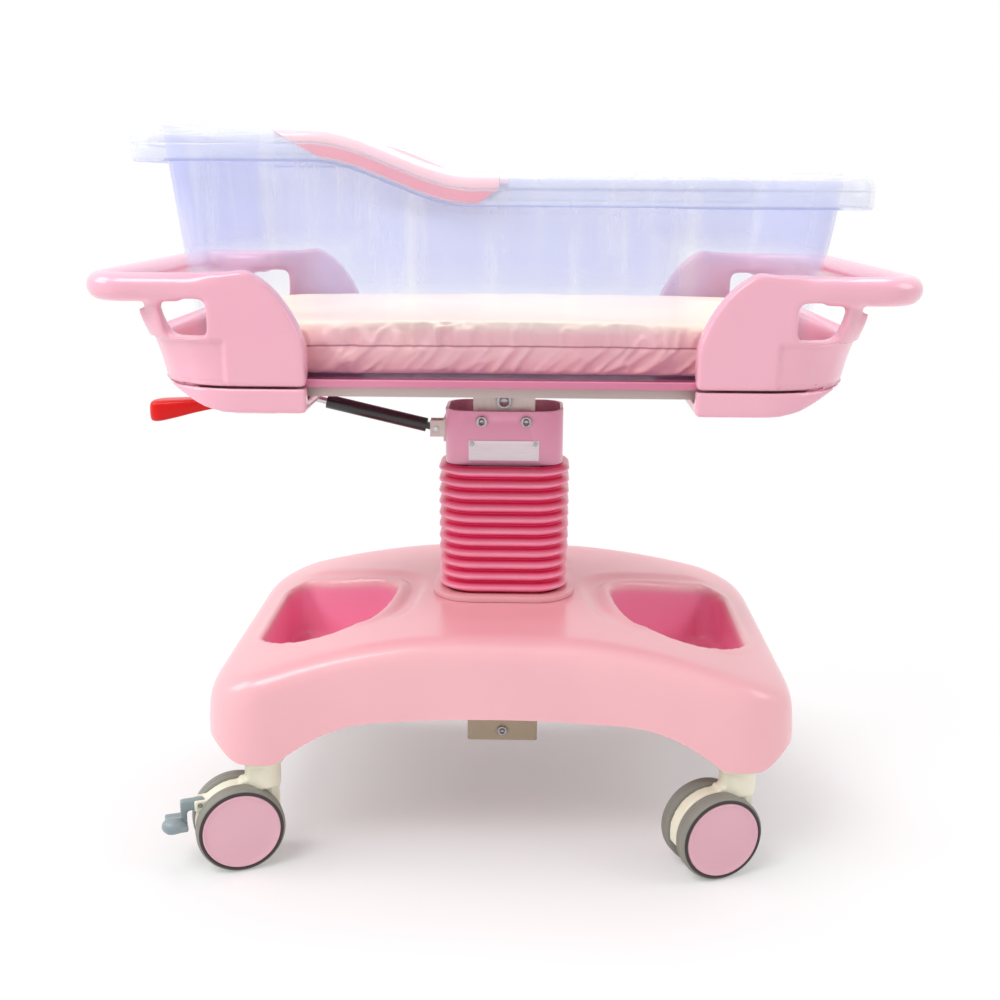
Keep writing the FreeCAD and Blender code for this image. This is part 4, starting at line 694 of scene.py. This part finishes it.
for nodeName, material in (
        ("base_frame", frameGrey), ("base_cover_screws", screwSteel), ("caster_stems", screwSteel),
        ("column_outer_tube", postGrey), ("column_guide_bushes", bushWhite),
        ("height_spring_cylinder", springBlack), ("height_spring_rod", chrome),
        ("housing_screws", screwSteel), ("release_pins", chrome), ("tilt_spring_pin", chrome),
        ("tilt_spring_rod", chrome)):
    carryOver(nodeName, material)
for name in ("head_near", "head_far", "foot_near", "foot_far"):
    carryOver(f"caster_{name}_axle", screwSteel)

sockets = dict(collarScrews=(2.4, 1.8), tiltPivotBolt=(2.6, 1.6), footBlockBolt=(2.2, 1.6))
for nodeName, name, body, material, slotName, width in (
        ("column_foot_block", "footBlock", "base", blockCream, "block_paint", 1.2),
        ("foot_block_bolt", "footBlockBolt", "base", screwSteel, "screw_steel", 0.6),
        ("bellows_ring", "bellowsRing", "base", basePink, "cover_pink", 2.0),
        ("column_post", "columnPost", "column", postGrey, "post_paint", 1.5),
        ("column_collar", "columnCollar", "column", collarMauve, "collar_mauve", 1.6),
        ("collar_screws", "collarScrews", "column", screwSteel, "screw_steel", 0.6),
        ("name_plate", "namePlate", "column", plateSilver, "plate_silver", 0.2),
        ("name_plate_rivets", "namePlateRivets", "column", screwSteel, "screw_steel", 0.3),
        ("tilt_spring_bracket", "tiltSpringBracket", "column", postGrey, "post_paint", 0.6),
        ("tilt_pivot_bolt", "tiltPivotBolt", "column", screwSteel, "screw_steel", 0.8),
        ("tilt_bracket", "tiltBracket", "deck", frameGrey, "frame_paint", 0.8),
        ("deck_frame", "deckFrame", "deck", frameGrey, "frame_paint", 1.2),
        ("deck_tray", "deckTray", "deck", trayPink, "tray_pink", 1.5),
        ("release_bracket", "releaseBracket", "deck", frameGrey, "frame_paint", 0.6),
        ("tilt_spring_cylinder", "tiltSpringCylinder", "spring_cylinder", springBlack, "cylinder_black", 0.6),
        ("tilt_release_head", "tiltReleaseHead", "spring_rod", chrome, "rod_chrome", 0.5),
        ("release_lever_arm", "releaseLeverArm", "release_lever", chrome, "stem_steel", 0.5)):
    piece = easedCopy(nodeName, name, width)
    if name in sockets:
        socketHeads(piece, *sockets[name])
    finishPiece(piece, body, material, slotName, nodeName)
print("metal and small parts dressed")


bellows = dict(halfX=79.5, halfY=61.0, corner=42.0, bottom=274.0, top=431.7, ridges=11, valley=8.0, steps=14,
               wall=1.6)


def makeBellows():
    halfX, halfY = bellows["halfX"], bellows["halfY"]
    piece = roundedPlate("bellowsFolds", halfX, halfY, bellows["corner"], bellows["bottom"], 12)
    editing()
    bpy.ops.mesh.select_mode(type="VERT")
    bpy.ops.mesh.delete(type="ONLY_FACE")
    bpy.ops.mesh.select_all(action="SELECT")
    pitch = (bellows["top"] - bellows["bottom"]) / bellows["ridges"]

    def insetAt(step):
        turn = (step % bellows["steps"]) / bellows["steps"]
        bulge = math.sin(math.pi * turn) ** 1.5
        return bellows["valley"] * (1 - bulge)
    inset = insetAt(0)
    resizeBy(1 - inset / halfX, 1 - inset / halfY)
    for step in range(1, bellows["ridges"] * bellows["steps"] + 1):
        now = insetAt(step)
        extrudeBy(0, pitch / bellows["steps"] * mm)
        resizeBy((halfX - now) / (halfX - inset), (halfY - now) / (halfY - inset))
        inset = now
    doneEditing()
    mergeAndFace(piece)
    thickened(piece, bellows["wall"])
    bpy.ops.object.shade_smooth()

    # the fold depth, which the finish turns into painted shade in the valleys and painted light on the ridges
    def foldAt(spot):
        return 1 - insetAt((spot.z / mm - bellows["bottom"]) / pitch * bellows["steps"]) / bellows["valley"]
    paint(piece, "fold", foldAt)
    finishPiece(piece, None, bellowsRose, "bellows_rose", "bellows")
    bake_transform(piece)
    print("bellows", len(piece.data.polygons))


makeBellows()


housing = dict(grain=2.4, joint=554.0, top=677.0, flare=28.0, length=357.0, halfWidth=240.0, corner=45.0,
               roundLow=100.0, roundHigh=62.0, stretchLow=14.0, stretchHigh=8.0, fadeFrom=572.0, fadeTo=622.0,
               barY=225.0, barZ=655.0, barRadius=15.0, barDrop=6.5, postX=336.0, postY=214.0, creaseX=283.0,
               bandTop=603.0, bandDepth=4.0)


def cornerShift(x, y, z):
    # how far a point of the wall moves to turn the square end into a well rounded one
    fade = ease(shareOf(z, housing["fadeFrom"], housing["fadeTo"]))
    wide = between(housing["roundLow"], housing["roundHigh"], fade)
    stretch = between(housing["stretchLow"], housing["stretchHigh"], fade)
    rise = max(0.0, z - housing["joint"]) / (housing["top"] - housing["joint"])
    endX = housing["length"] + housing["flare"] * rise + stretch
    x += stretch * ease((x - 296) / 60)
    fromX, fromY = x - (endX - wide), y - (housing["halfWidth"] - wide)
    if fromX <= 0 or fromY <= 0:
        return x, y
    reach = math.hypot(fromX, fromY)
    wayX, wayY = fromX / reach, fromY / reach
    inner = wide - housing["corner"]
    along = inner * (wayX + wayY)
    edge = along + math.sqrt(max(0.0, along * along - 2 * inner * inner + housing["corner"] ** 2))
    if min(edge * wayX, edge * wayY) < inner:
        edge = min(wide / wayX, wide / wayY)
    return x + (wide - edge) * wayX, y + (wide - edge) * wayY


def housingShape(point):
    # rounds the end's corners, narrows the corner post, and brings the top down level with the bar
    z = point.z / mm
    x, y = cornerShift(*halfSizes(point))
    if x > housing["postX"] and y < housing["postY"] and z > housing["bandTop"]:
        y = housing["postY"] - (housing["postY"] - y) * (1 - ease((z - housing["bandTop"]) / 34))
    if z > 636 and x < 352:
        z -= housing["barDrop"] * ease((x - 232) / 60) * ease((z - 640) / 28)
        into = ease((x - 284) / 34)
        off = housing["barRadius"] ** 2 - (z - housing["barZ"]) ** 2
        if z > housing["barZ"] and into > 0 and y > 200:
            half = math.sqrt(max(0.0, off))
            near = min(max(y, housing["barY"] - half), housing["barY"] + half)
            y += (near - y) * into
    return Vector((math.copysign(x, point.x), math.copysign(y, point.y), z)) * mm


def makeHousingUpper(end):
    wall = copyOfNode(f"{end}_housing_upper", f"{end}HousingUpper")
    newSkin(wall, 3)
    moveEach(wall, housingShape)
    piece = joined(wall, copyOfNode(f"{end}_handle", "bar"))
    newSkin(piece, housing["grain"], 22)
    group = piece.vertex_groups.new(name="bars")
    corner = piece.vertex_groups.new(name="posts")
    for point in piece.data.vertices:
        x, y, z = halfSizes(point.co)
        group.add([point.index], ease((x - 374) / 14), "REPLACE")
        inward = ease((x - 322) / 8) * ease((y - 150) / 16) * ease((222 - y) / 8)
        corner.add([point.index], inward * ease((z - 592) / 8) * ease((648 - z) / 6), "REPLACE")
    smoother(piece, 26, "posts")
    bars = piece.modifiers.new("bars", "SHRINKWRAP")
    bars.target = frame["nodes"][f"{end}_handle"]
    bars.vertex_group = "bars"
    smoother(piece, 10, "bars")
    bakeModifiers(piece)
    moved = {}
    for point in piece.data.vertices:
        x, y, z = halfSizes(point.co)
        normal = point.normal
        side = abs(normal.y) if y > 150 else 0.0
        endward = max(0.0, normal.x * math.copysign(1, point.co.x)) if x > 325 else 0.0
        outside = normal.x * point.co.x + normal.y * point.co.y > 0
        if outside and z < 612 and x > housing["creaseX"] - 2:
            facing = ease((math.hypot(side, endward) - 0.35) / 0.3)
            into = ease((x - housing["creaseX"]) / 2.4) * ease((housing["bandTop"] - z) / 3)
            moved[point.index] = point.co - normal * housing["bandDepth"] * into * facing * mm
    for index, spot in moved.items():
        piece.data.vertices[index].co = spot
    smoother(piece, 1)
    bakeModifiers(piece)
    bpy.ops.object.shade_smooth()
    finishPiece(piece, "deck", housingPink, "housing_pink", f"{end}_housing_upper", f"{end}_handle")
    print(end, "housing", len(piece.data.polygons))


def makeHousingLower(end):
    node = f"{end}_housing_lower"
    piece = softMoulding(node, f"{end}HousingLower", housing["grain"], 8)
    moveEach(piece, housingShape)
    smoother(piece, 10)
    bakeModifiers(piece)
    finishPiece(piece, "deck", housingPink, "housing_pink", node)


for end in ("head", "foot"):
    makeHousingUpper(end)
    makeHousingLower(end)
print("housings and handles")


tub = dict(floor=556.3, floorX=322.0, floorY=203.0, floorCorner=52.0, fillet=20.0,
           wallX=349.0, wallY=216.0, rimX=374.0, rimY=235.0, top=811.0, low=767.0,
           slopeFrom=-190.0, slopeTo=-27.0, rimDepth=30.0, wall=4.0, roll=12.0,
           groove=1.1, bend=640.0, levels=22, bulge=6.0, bulgeFrom=-126.0, bulgeTo=180.0, bulgeTop=741.0)


def rimHeight(x):
    # the rim runs level, falls in a smooth S, and runs level again
    return between(tub["top"], tub["low"], ease(shareOf(x, tub["slopeFrom"], tub["slopeTo"])))


def makeTub():
    flatX, flatY, fillet = tub["floorX"] - tub["fillet"], tub["floorY"] - tub["fillet"], tub["fillet"]
    piece = roundedPlate("clearTub", flatX, flatY, tub["floorCorner"] - fillet, tub["floor"], 10)
    editing()
    for x in range(-230, 231, 10):
        bpy.ops.mesh.select_all(action="SELECT")
        bpy.ops.mesh.bisect(plane_co=(x * mm, 0, 0), plane_no=(1, 0, 0))
    pickOpenEdge("EDGE")
    place = [flatX, flatY, tub["floor"]]

    def extrudeTo(halfX, halfY, height):
        extrudeBy(0, (height - place[2]) * mm)
        resizeBy(halfX / place[0], halfY / place[1])
        place[:] = [halfX, halfY, height]

    def rimTo(out, down):
        extrudeTo(tub["rimX"] + out, tub["rimY"] + out, tub["top"] - down)
    for step in range(1, 6):
        turn = math.pi / 2 * step / 5
        out = fillet * math.sin(turn)
        extrudeTo(flatX + out, flatY + out, tub["floor"] + fillet * (1 - math.cos(turn)))
    start = tub["floor"] + fillet
    for step in range(1, tub["levels"] + 1):
        up = step / tub["levels"]
        extrudeTo(between(tub["floorX"], tub["wallX"], up), between(tub["floorY"], tub["wallY"], up),
                  between(start, tub["top"] - 4, up))
    extrudeTo(tub["wallX"] + 3, tub["wallY"] + 3, tub["top"] - 1)  # rolls over into the rim
    extrudeTo(tub["wallX"] + 7, tub["wallY"] + 7, tub["top"])
    for step in range(0, 6):
        turn = math.pi / 2 * step / 5
        rimTo(tub["roll"] * (math.sin(turn) - 1), tub["roll"] * (1 - math.cos(turn)))
    for out, down in ((-tub["groove"], 13.2), (-tub["groove"], 14.2), (0, 15.4), (0, tub["rimDepth"] - 3),
                      (-1.2, tub["rimDepth"])):
        rimTo(out, down)
    doneEditing()
    bend = tub["bend"]

    def shaped(point):
        x, y, z = (c / mm for c in point)
        if z > bend:
            share = ease(shareOf(z, bend, tub["top"] - tub["rimDepth"]))
            z -= (tub["top"] - rimHeight(x)) * share ** 0.8
        if abs(y) > tub["floorY"] - tub["fillet"] and z < tub["bulgeTop"]:
            across = ease((x - tub["bulgeFrom"]) / 12) * ease((tub["bulgeTo"] - x) / 12)
            upward = ease((tub["bulgeTop"] - z) / 14) * ease((z - tub["floor"] - 6) / 30)
            y += math.copysign(tub["bulge"] * across * upward, y)
        return Vector((x, y, z)) * mm

    # marks the rim's lower edge, and at half strength its groove, for a line of painted shade
    def edgeShadeAt(spot):
        x, y, z = halfSizes(spot)
        down = tub["top"] - z
        outer = max(x - tub["rimX"], y - tub["rimY"]) > -1.5
        return (down > tub["rimDepth"] - 1 or 0.5 * (13.5 < down < 14.8)) if outer else 0.0

    # marks the rim, which the finish keeps clearer and tints whiter as painted highlight
    def rimAt(spot):
        x, y, z = halfSizes(spot)
        beyond = max(x - tub["wallX"], y - tub["wallY"])
        return ease((z - tub["top"] + tub["rimDepth"] + 1) / 2) * ease((beyond + 1) / 4)
    paint(piece, "rim", rimAt)
    paint(piece, "edge", edgeShadeAt)
    moveEach(piece, shaped)
    mergeAndFace(piece)
    floorFace = min(piece.data.polygons, key=lambda f: f.center.z)
    if floorFace.normal.z > 0:
        piece.data.flip_normals()
    thickened(piece, tub["wall"])
    shadeByAngle(50)
    finishPiece(piece, "tub", tubClear, "tub_clear", "tub")
    print("tub", len(piece.data.polygons))


makeTub()

# one side's strip in section, outward and up from the rim's top: inner edge, dome, groove, upright face
# (painted deeper, as shade), hem
strip = dict(start=-228.0, full=-177.0, taper=-27.0, end=-2.0, rise=2.1, drop=-27.8, endDrop=-14.0, wall=1.6,
             section=[(210.8, -7), (211, -3), (212, 0.2), (214.5, 1.8), (218.5, 2.2), (223, 2.2)]
             + [(223 + 14.2 * math.sin(math.radians(a)), -12 + 14.2 * math.cos(math.radians(a)))
                for a in range(10, 91, 10)]
             + [(236.4, -13.2), (236.2, -14.2), (237, -15.4), (237.4, -20), (237.1, -25), (236.4, -27),
                (235.3, -27.8)])


def sectionAt(share, lowest):
    # a point along the section, which ends where the strip's lower edge runs at this place
    points, lengths = strip["section"], [0.0]
    for a, b in zip(points, points[1:]):
        lengths.append(lengths[-1] + math.dist(a, b))
    last = next((i for i in range(6, len(points)) if points[i][1] <= lowest), len(points) - 1)
    a, b = points[last - 1], points[last]
    part = (a[1] - lowest) / (a[1] - b[1]) if a[1] > b[1] else 1.0
    along = share * between(lengths[last - 1], lengths[last], min(1.0, max(0.0, part)))
    spot = max(i for i in range(last) if lengths[i] <= along + 1e-9)
    part = shareOf(along, lengths[spot], lengths[spot + 1])
    return [between(points[spot][k], points[spot + 1][k], part) for k in (0, 1)]


def makeStrip(side, sign):
    bpy.ops.mesh.primitive_grid_add(x_subdivisions=150, y_subdivisions=56, size=2)
    piece = added("rimStrip" + side.title())
    band = piece.data.attributes.new("band", "FLOAT", "POINT")
    for i, point in enumerate(piece.data.vertices):
        x = between(strip["start"], strip["end"], (point.co.x + 1) / 2)
        if x < strip["full"]:
            lowest = between(strip["rise"], strip["drop"], shareOf(x, strip["start"], strip["full"]) ** 0.8)
        else:
            lowest = between(strip["drop"], strip["endDrop"], ease(shareOf(x, strip["taper"], strip["end"])))
        out, up = sectionAt((point.co.y + 1) / 2, lowest)
        # painted shade: the upright face under the groove is marked for the deeper pink, and the rest keeps
        # the paler, lit pink
        band.data[i].value = ease((-14.6 - up) / 1.2) * ease((up + 26.6) / 1.2)
        point.co = Vector((x, sign * out, rimHeight(x) + up)) * mm
    top = max(piece.data.polygons, key=lambda face: face.center.z)
    if top.normal.z < 0:
        piece.data.flip_normals()
    thickened(piece, strip["wall"])
    shadeByAngle(40)
    finishPiece(piece, "tub", stripPink, "strip_pink", "rim_strip_" + side)


makeStrip("near", -1)
makeStrip("far", 1)
print("strips")


mattress = dict(halfX=303.5, halfY=185.5, corner=36.0, bottom=562.5, top=612.0, voxel=5.0, cap=6.0, frames=20,
                seam=591.0, seamDepth=1.3, foldDepth=4.8, foldWidth=17.0, foldHeight=60.0, edge=6.0,
                pressure=4, lowest=560.8, highest=618.6, farX=310.0, farY=192.0)


def mattressFold(spot, normal):
    # the cover's upright folds, the line of its zip, the thicker hem and a slightly uneven top
    x, y, z = (c / mm for c in spot)
    side = ease((0.8 - normal.z) / 0.4)
    patch = 0.3 + 0.7 * ease(noise.noise(Vector((x / 60, y / 60, z / 50))) + 0.5)
    if y < 0:
        patch += 1.4 * math.exp(-((x + 75) / 52) ** 2) * (z > mattress["seam"])
    lean = x + (1.1 * (mattress["seam"] - z) if z < mattress["seam"] else 0)
    wide, high = mattress["foldWidth"], mattress["foldHeight"]
    ridge = max(0.0, 1 - 3.0 * abs(noise.noise(Vector((lean / wide, y / wide, z / high))))) ** 2
    move = mattress["foldDepth"] * (ridge - 0.55) * patch * side * ease((z - 560) / 6) * ease((621 - z) / 6)
    move -= mattress["seamDepth"] * max(0.0, 1 - abs(z - mattress["seam"]) / 3) * side
    move += 0.8 * ease((569 - z) / 4) * side
    move += 1.3 * noise.noise(Vector((x / 55, y / 80, 3.0))) * (1 - side) * (normal.z > 0)
    return spot + normal * move * mm


def makeMattress():
    piece = roundedPlate("mattressCover", mattress["halfX"], mattress["halfY"], mattress["corner"],
                         mattress["bottom"], 8)
    editing()
    extrudeBy(0, (mattress["top"] - mattress["bottom"]) * mm)
    bpy.ops.mesh.select_all(action="SELECT")
    bpy.ops.mesh.normals_make_consistent(inside=False)
    doneEditing()
    edge = piece.modifiers.new("edge", "BEVEL")
    edge.width = mattress["edge"] * mm
    edge.segments = 3
    newSkin(piece, mattress["voxel"])
    rest = [point.co.copy() for point in piece.data.vertices]
    cloth = piece.modifiers.new("cover", "CLOTH")
    cloth.settings.use_pressure = True
    cloth.settings.uniform_pressure_force = mattress["pressure"]
    cloth.settings.effector_weights.gravity = 0
    cloth.settings.shrink_min = -0.05
    cloth.settings.quality = 5
    for now in range(1, mattress["frames"] + 1):
        bpy.context.scene.frame_set(now)
    bakeModifiers(piece)
    bpy.context.scene.frame_set(1)
    cap = mattress["cap"] * mm
    for point, home in zip(piece.data.vertices, rest):
        way = point.co - home
        if way.length > cap:
            way *= cap / way.length
        point.co = home + way
        point.co.z = max(point.co.z, mattress["lowest"] * mm)
    finer = piece.modifiers.new("finer", "SUBSURF")
    finer.levels = 1
    finer.render_levels = 1
    bakeModifiers(piece)
    folded = [mattressFold(point.co, point.normal) for point in piece.data.vertices]
    limits = ((-mattress["farX"], mattress["farX"]), (-mattress["farY"], mattress["farY"]),
              (mattress["lowest"], mattress["highest"]))
    for point, spot in zip(piece.data.vertices, folded):
        point.co = [min(max(c, low * mm), high * mm) for c, (low, high) in zip(spot, limits)]
    bpy.ops.object.shade_smooth()
    finishPiece(piece, "mattress", mattressCloth, "mattress_cover", "mattress")
    print("mattress", len(piece.data.polygons))


makeMattress()


caster = dict(tilt=20.0, offset=19.0, grain=1.5, stemX=270.0, stemY=205.0, stemRadius=20.5, stemLow=92.0,
              stemTop=125.5, guardRadius=48.5, guardHalf=8.4, guardCut=12.0, webOut=32.5, webUp=30.0,
              webLength=30.5, webHeight=76.0)

# one wheel lying on its back, as (radius, height) points: the face looks up, and its twin is turned over
wheelProfiles = dict(
    tyre=[(38, -9.6), (46.5, -9.6), (49.4, -7.6), (50, -5), (50, -2.2), (49.5, -1.7), (49.5, -1.1),
          (50, -0.6), (50, 4.8), (49.6, 7.2), (48.2, 9.2), (46.6, 9.8), (38, 9.6)],
    ring=[(40, 6), (46.2, 6), (47.4, 8.6), (47.2, 10.2), (45.8, 11), (44.2, 10.8), (43.6, 9.4), (40, 9)],
    cap=[(0, 5), (43.4, 5), (43.7, 9.6), (43.3, 10.9), (42.4, 11.5), (41.2, 11.3), (40.2, 10.4), (37, 9.9),
         (28, 9.5), (18, 9.8), (9, 10.3), (3, 10.5), (0, 10.5)])


def makeFork(name, title, centre, axis):
    # the cream body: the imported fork, a mudguard drum between the wheels and the stem's socket
    body = copyOfNode(f"caster_{name}_fork", title + "Fork")
    wide, low, top = 2 * caster["guardHalf"] * mm, caster["stemLow"] * mm, caster["stemTop"] * mm
    up = Vector((0, 0, mm))
    bpy.ops.mesh.primitive_cylinder_add(vertices=72, radius=caster["guardRadius"] * mm, depth=wide,
                                        location=centre)
    guard = added("guard")
    guard.rotation_euler = axis.to_track_quat("Z", "X").to_euler()
    fixPlace(guard)
    editing()
    bpy.ops.mesh.bisect(plane_co=centre - up * caster["guardCut"], plane_no=(0, 0, 1), clear_inner=True,
                        use_fill=True)
    doneEditing()
    cornerX, cornerY = math.copysign(caster["stemX"], centre.x), math.copysign(caster["stemY"], centre.y)
    corner = Vector((cornerX, cornerY, 0)) * mm
    bpy.ops.mesh.primitive_cylinder_add(vertices=64, radius=caster["stemRadius"] * mm, depth=top - low,
                                        location=(corner.x, corner.y, (top + low) / 2))
    stem = added("stem")
    fixPlace(stem)
    roll = (corner - Vector((centre.x, centre.y, 0))).normalized()
    middle = centre + roll * caster["webOut"] * mm + up * caster["webUp"]
    bpy.ops.mesh.primitive_cube_add(size=1, location=middle)
    web = added("web")
    web.scale = (caster["webLength"] * mm, wide, caster["webHeight"] * mm)
    web.rotation_euler = (0, 0, math.atan2(roll.y, roll.x))
    fixPlace(web)
    joined(body, guard, stem, web)
    newSkin(body, caster["grain"], 10)
    bpy.ops.object.shade_smooth()
    finishPiece(body, "caster_" + name, forkCream, "fork_cream", f"caster_{name}_fork")


wheelParts = [turned(name, profile) for name, profile in wheelProfiles.items()]
wheelLooks = ((tyreGrey, "tyre_grey", "tyres"), (ringDark, "tyre_grey", "hubs"),
              (capPink, "cap_pink", "hubs"))
for end in ("head", "foot"):
    for side in ("near", "far"):
        name = f"{end}_{side}"
        title = end + side.title()
        low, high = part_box(f"caster_{name}_tyres")
        centre = (low + high) / 2
        lean = math.radians(caster["tilt"]) * (1 if side == "near" else -1)
        axis = Vector((-math.sin(lean), math.cos(lean), 0))
        for turnedOver, word in ((1, "Out"), (-1, "In")):
            out = axis * turnedOver
            turn = out.to_track_quat("Z", "X").to_matrix().to_4x4()
            place = Matrix.Translation(centre + out * caster["offset"] * mm) @ turn
            for part, (material, slotName, node) in zip(wheelParts, wheelLooks):
                twin = copyPiece(part, f"{title}{part.name.title()}{word}", place)
                finishPiece(twin, "wheels_" + name, material, slotName, f"caster_{name}_{node}")
        makeFork(name, title, centre, axis)
for part in wheelParts:
    bpy.data.objects.remove(part)


pedal = dict(grain=1.2, padIn=18.0, padAcross=12.0, padUp=6.0, padSize=(26.0, 24.0, 19.0))


def makePedal(name):
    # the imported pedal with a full, rounded foot pad near its outer end
    piece = copyOfNode("brake_pedal_" + name, "brakePedal" + name.title().replace("_", ""))
    low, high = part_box("brake_pedal_" + name)
    outer = low.y + pedal["padAcross"] * mm if low.y < 0 else high.y - pedal["padAcross"] * mm
    bpy.ops.mesh.primitive_uv_sphere_add(segments=48, ring_count=24, radius=0.5, location=(
        low.x + pedal["padIn"] * mm, outer, low.z + pedal["padUp"] * mm))
    pad = added("pad")
    pad.scale = Vector(pedal["padSize"]) * mm
    fixPlace(pad)
    joined(piece, pad)
    newSkin(piece, pedal["grain"], 30)
    bpy.ops.object.shade_smooth()
    finishPiece(piece, "pedal_" + name, pedalGrey, "pedal_grey", "brake_pedal_" + name)


for name in ("head_near", "foot_far"):
    makePedal(name)


grip = dict(grain=1.4, tip=-436.0, root=-357.0, newRoot=-340.0, top=503.0, thinAt=0.68, thickAt=1.7,
            droop=3.0)


def gripShape(point):
    # a paddle: level on top, thin by the link and thick toward its tip
    x, y, z = (c / mm for c in point)
    share = shareOf(x, grip["tip"], grip["root"])
    x = between(grip["tip"], grip["newRoot"], share)
    thick = between(grip["thickAt"], grip["thinAt"], ease(share * 0.9 + 0.05))
    z = grip["top"] - (grip["top"] - z) * thick - grip["droop"] * (1 - share) ** 2
    return Vector((x, y * (1.1 - 0.25 * share), z)) * mm


piece = softMoulding("release_lever_grip", "releaseLeverGrip", grip["grain"], 10)
moveEach(piece, gripShape)
smoother(piece, 60)
bakeModifiers(piece)
finishPiece(piece, "release_lever", leverRed, "lever_red", "release_lever_grip")
print("casters, pedals and grip")


# each lamp: its place, what it looks at, its size and its power
studio = dict(floorSize=40.0, floorGrey=0.93, worldLevel=0.46, lamps=dict(
    key=((-1.4, -1.8, 3.0), (0, 0, 0.45), (1.6, 1.2), 46.0),
    left=((-2.7, -0.4, 2.1), (0, 0, 0.3), (1.6, 1.4), 32.0),
    right=((2.7, -0.6, 2.1), (0, 0, 0.3), (1.6, 1.4), 20.0),
    top=((0.2, 0.6, 3.0), (0, 0, 0.5), (2.2, 1.2), 46.0)))


def whiteShare(tree, *rays):
    # 1 for the kinds of ray that see the white background, and 0 for the light on the object
    path = newNode(tree, "LightPath", {}).outputs
    share = path["Is Camera Ray"]
    for ray in rays:
        share = combined(tree, "MAXIMUM", share, path[ray])
    return share


def makeFloor():
    bpy.ops.mesh.primitive_plane_add(size=studio["floorSize"], location=(0, 0, 0))
    floor = added("floor")
    material, tree, shader, place = bareMaterial("studioFloor")
    grey = studio["floorGrey"]
    feed(shader, {"Base Color": (grey, grey, grey, 1.0), "Roughness": 0.9, "Specular IOR Level": 0.1})
    reach = newNode(tree, "VectorMath", {0: place}, operation="LENGTH").outputs["Value"]
    away = ranged(tree, reach, 0.25, 1.0, 0.3, 1.5)
    share = combined(tree, "MULTIPLY", whiteShare(tree, "Is Glossy Ray"), away)
    white = newNode(tree, "Emission", {}).outputs[0]
    mix = newNode(tree, "MixShader", {0: share, 1: shader.outputs[0], 2: white})
    feed(tree.nodes["Material Output"], {"Surface": mix.outputs[0]})
    floor.data.materials.append(material)


def makeWorld():
    world = bpy.data.worlds.new("studio")
    bpy.context.scene.world = world
    world.use_nodes = True
    tree = world.node_tree
    share = whiteShare(tree, "Is Glossy Ray", "Is Transmission Ray")
    strength = ranged(tree, share, studio["worldLevel"], 1.0, 0.0, 1.0)
    feed(tree.nodes["Background"], {"Color": (1.0, 1.0, 1.0, 1.0), "Strength": strength})


def makeLamp(name, place, target, size, power):
    data = bpy.data.lights.new(name, "AREA")
    data.shape = "RECTANGLE"
    data.size, data.size_y = size
    data.energy = power
    lamp = bpy.data.objects.new(name, data)
    lamp.location = place
    lamp.rotation_euler = (Vector(target) - Vector(place)).to_track_quat("-Z", "Y").to_euler()
    bpy.context.scene.collection.objects.link(lamp)


makeFloor()
makeWorld()
for name, settings in studio["lamps"].items():
    makeLamp(name, *settings)


# the focal length is a share of the sensor's width
view = dict(focal=1.2615, sensor=36.0, place=(0.0317, -1.5227, 0.7585), yaw=-0.02432, pitch=0.24505,
            roll=0.0052)


def makeCamera():
    data = bpy.data.cameras.new("camera")
    data.sensor_fit = "HORIZONTAL"
    data.sensor_width = view["sensor"]
    data.lens = view["focal"] * view["sensor"]
    data.clip_end = 100
    camera = bpy.data.objects.new("camera", data)
    turn = (Matrix.Rotation(-view["yaw"], 4, "Z")
            @ Matrix.Rotation(math.pi / 2 - view["pitch"], 4, "X")
            @ Matrix.Rotation(view["roll"], 4, "Z"))
    camera.rotation_euler = turn.to_euler()
    camera.location = view["place"]
    bpy.context.scene.collection.objects.link(camera)
    bpy.context.scene.camera = camera


makeCamera()
bpy.context.scene.view_settings.view_transform = "Standard"
print("studio ready")
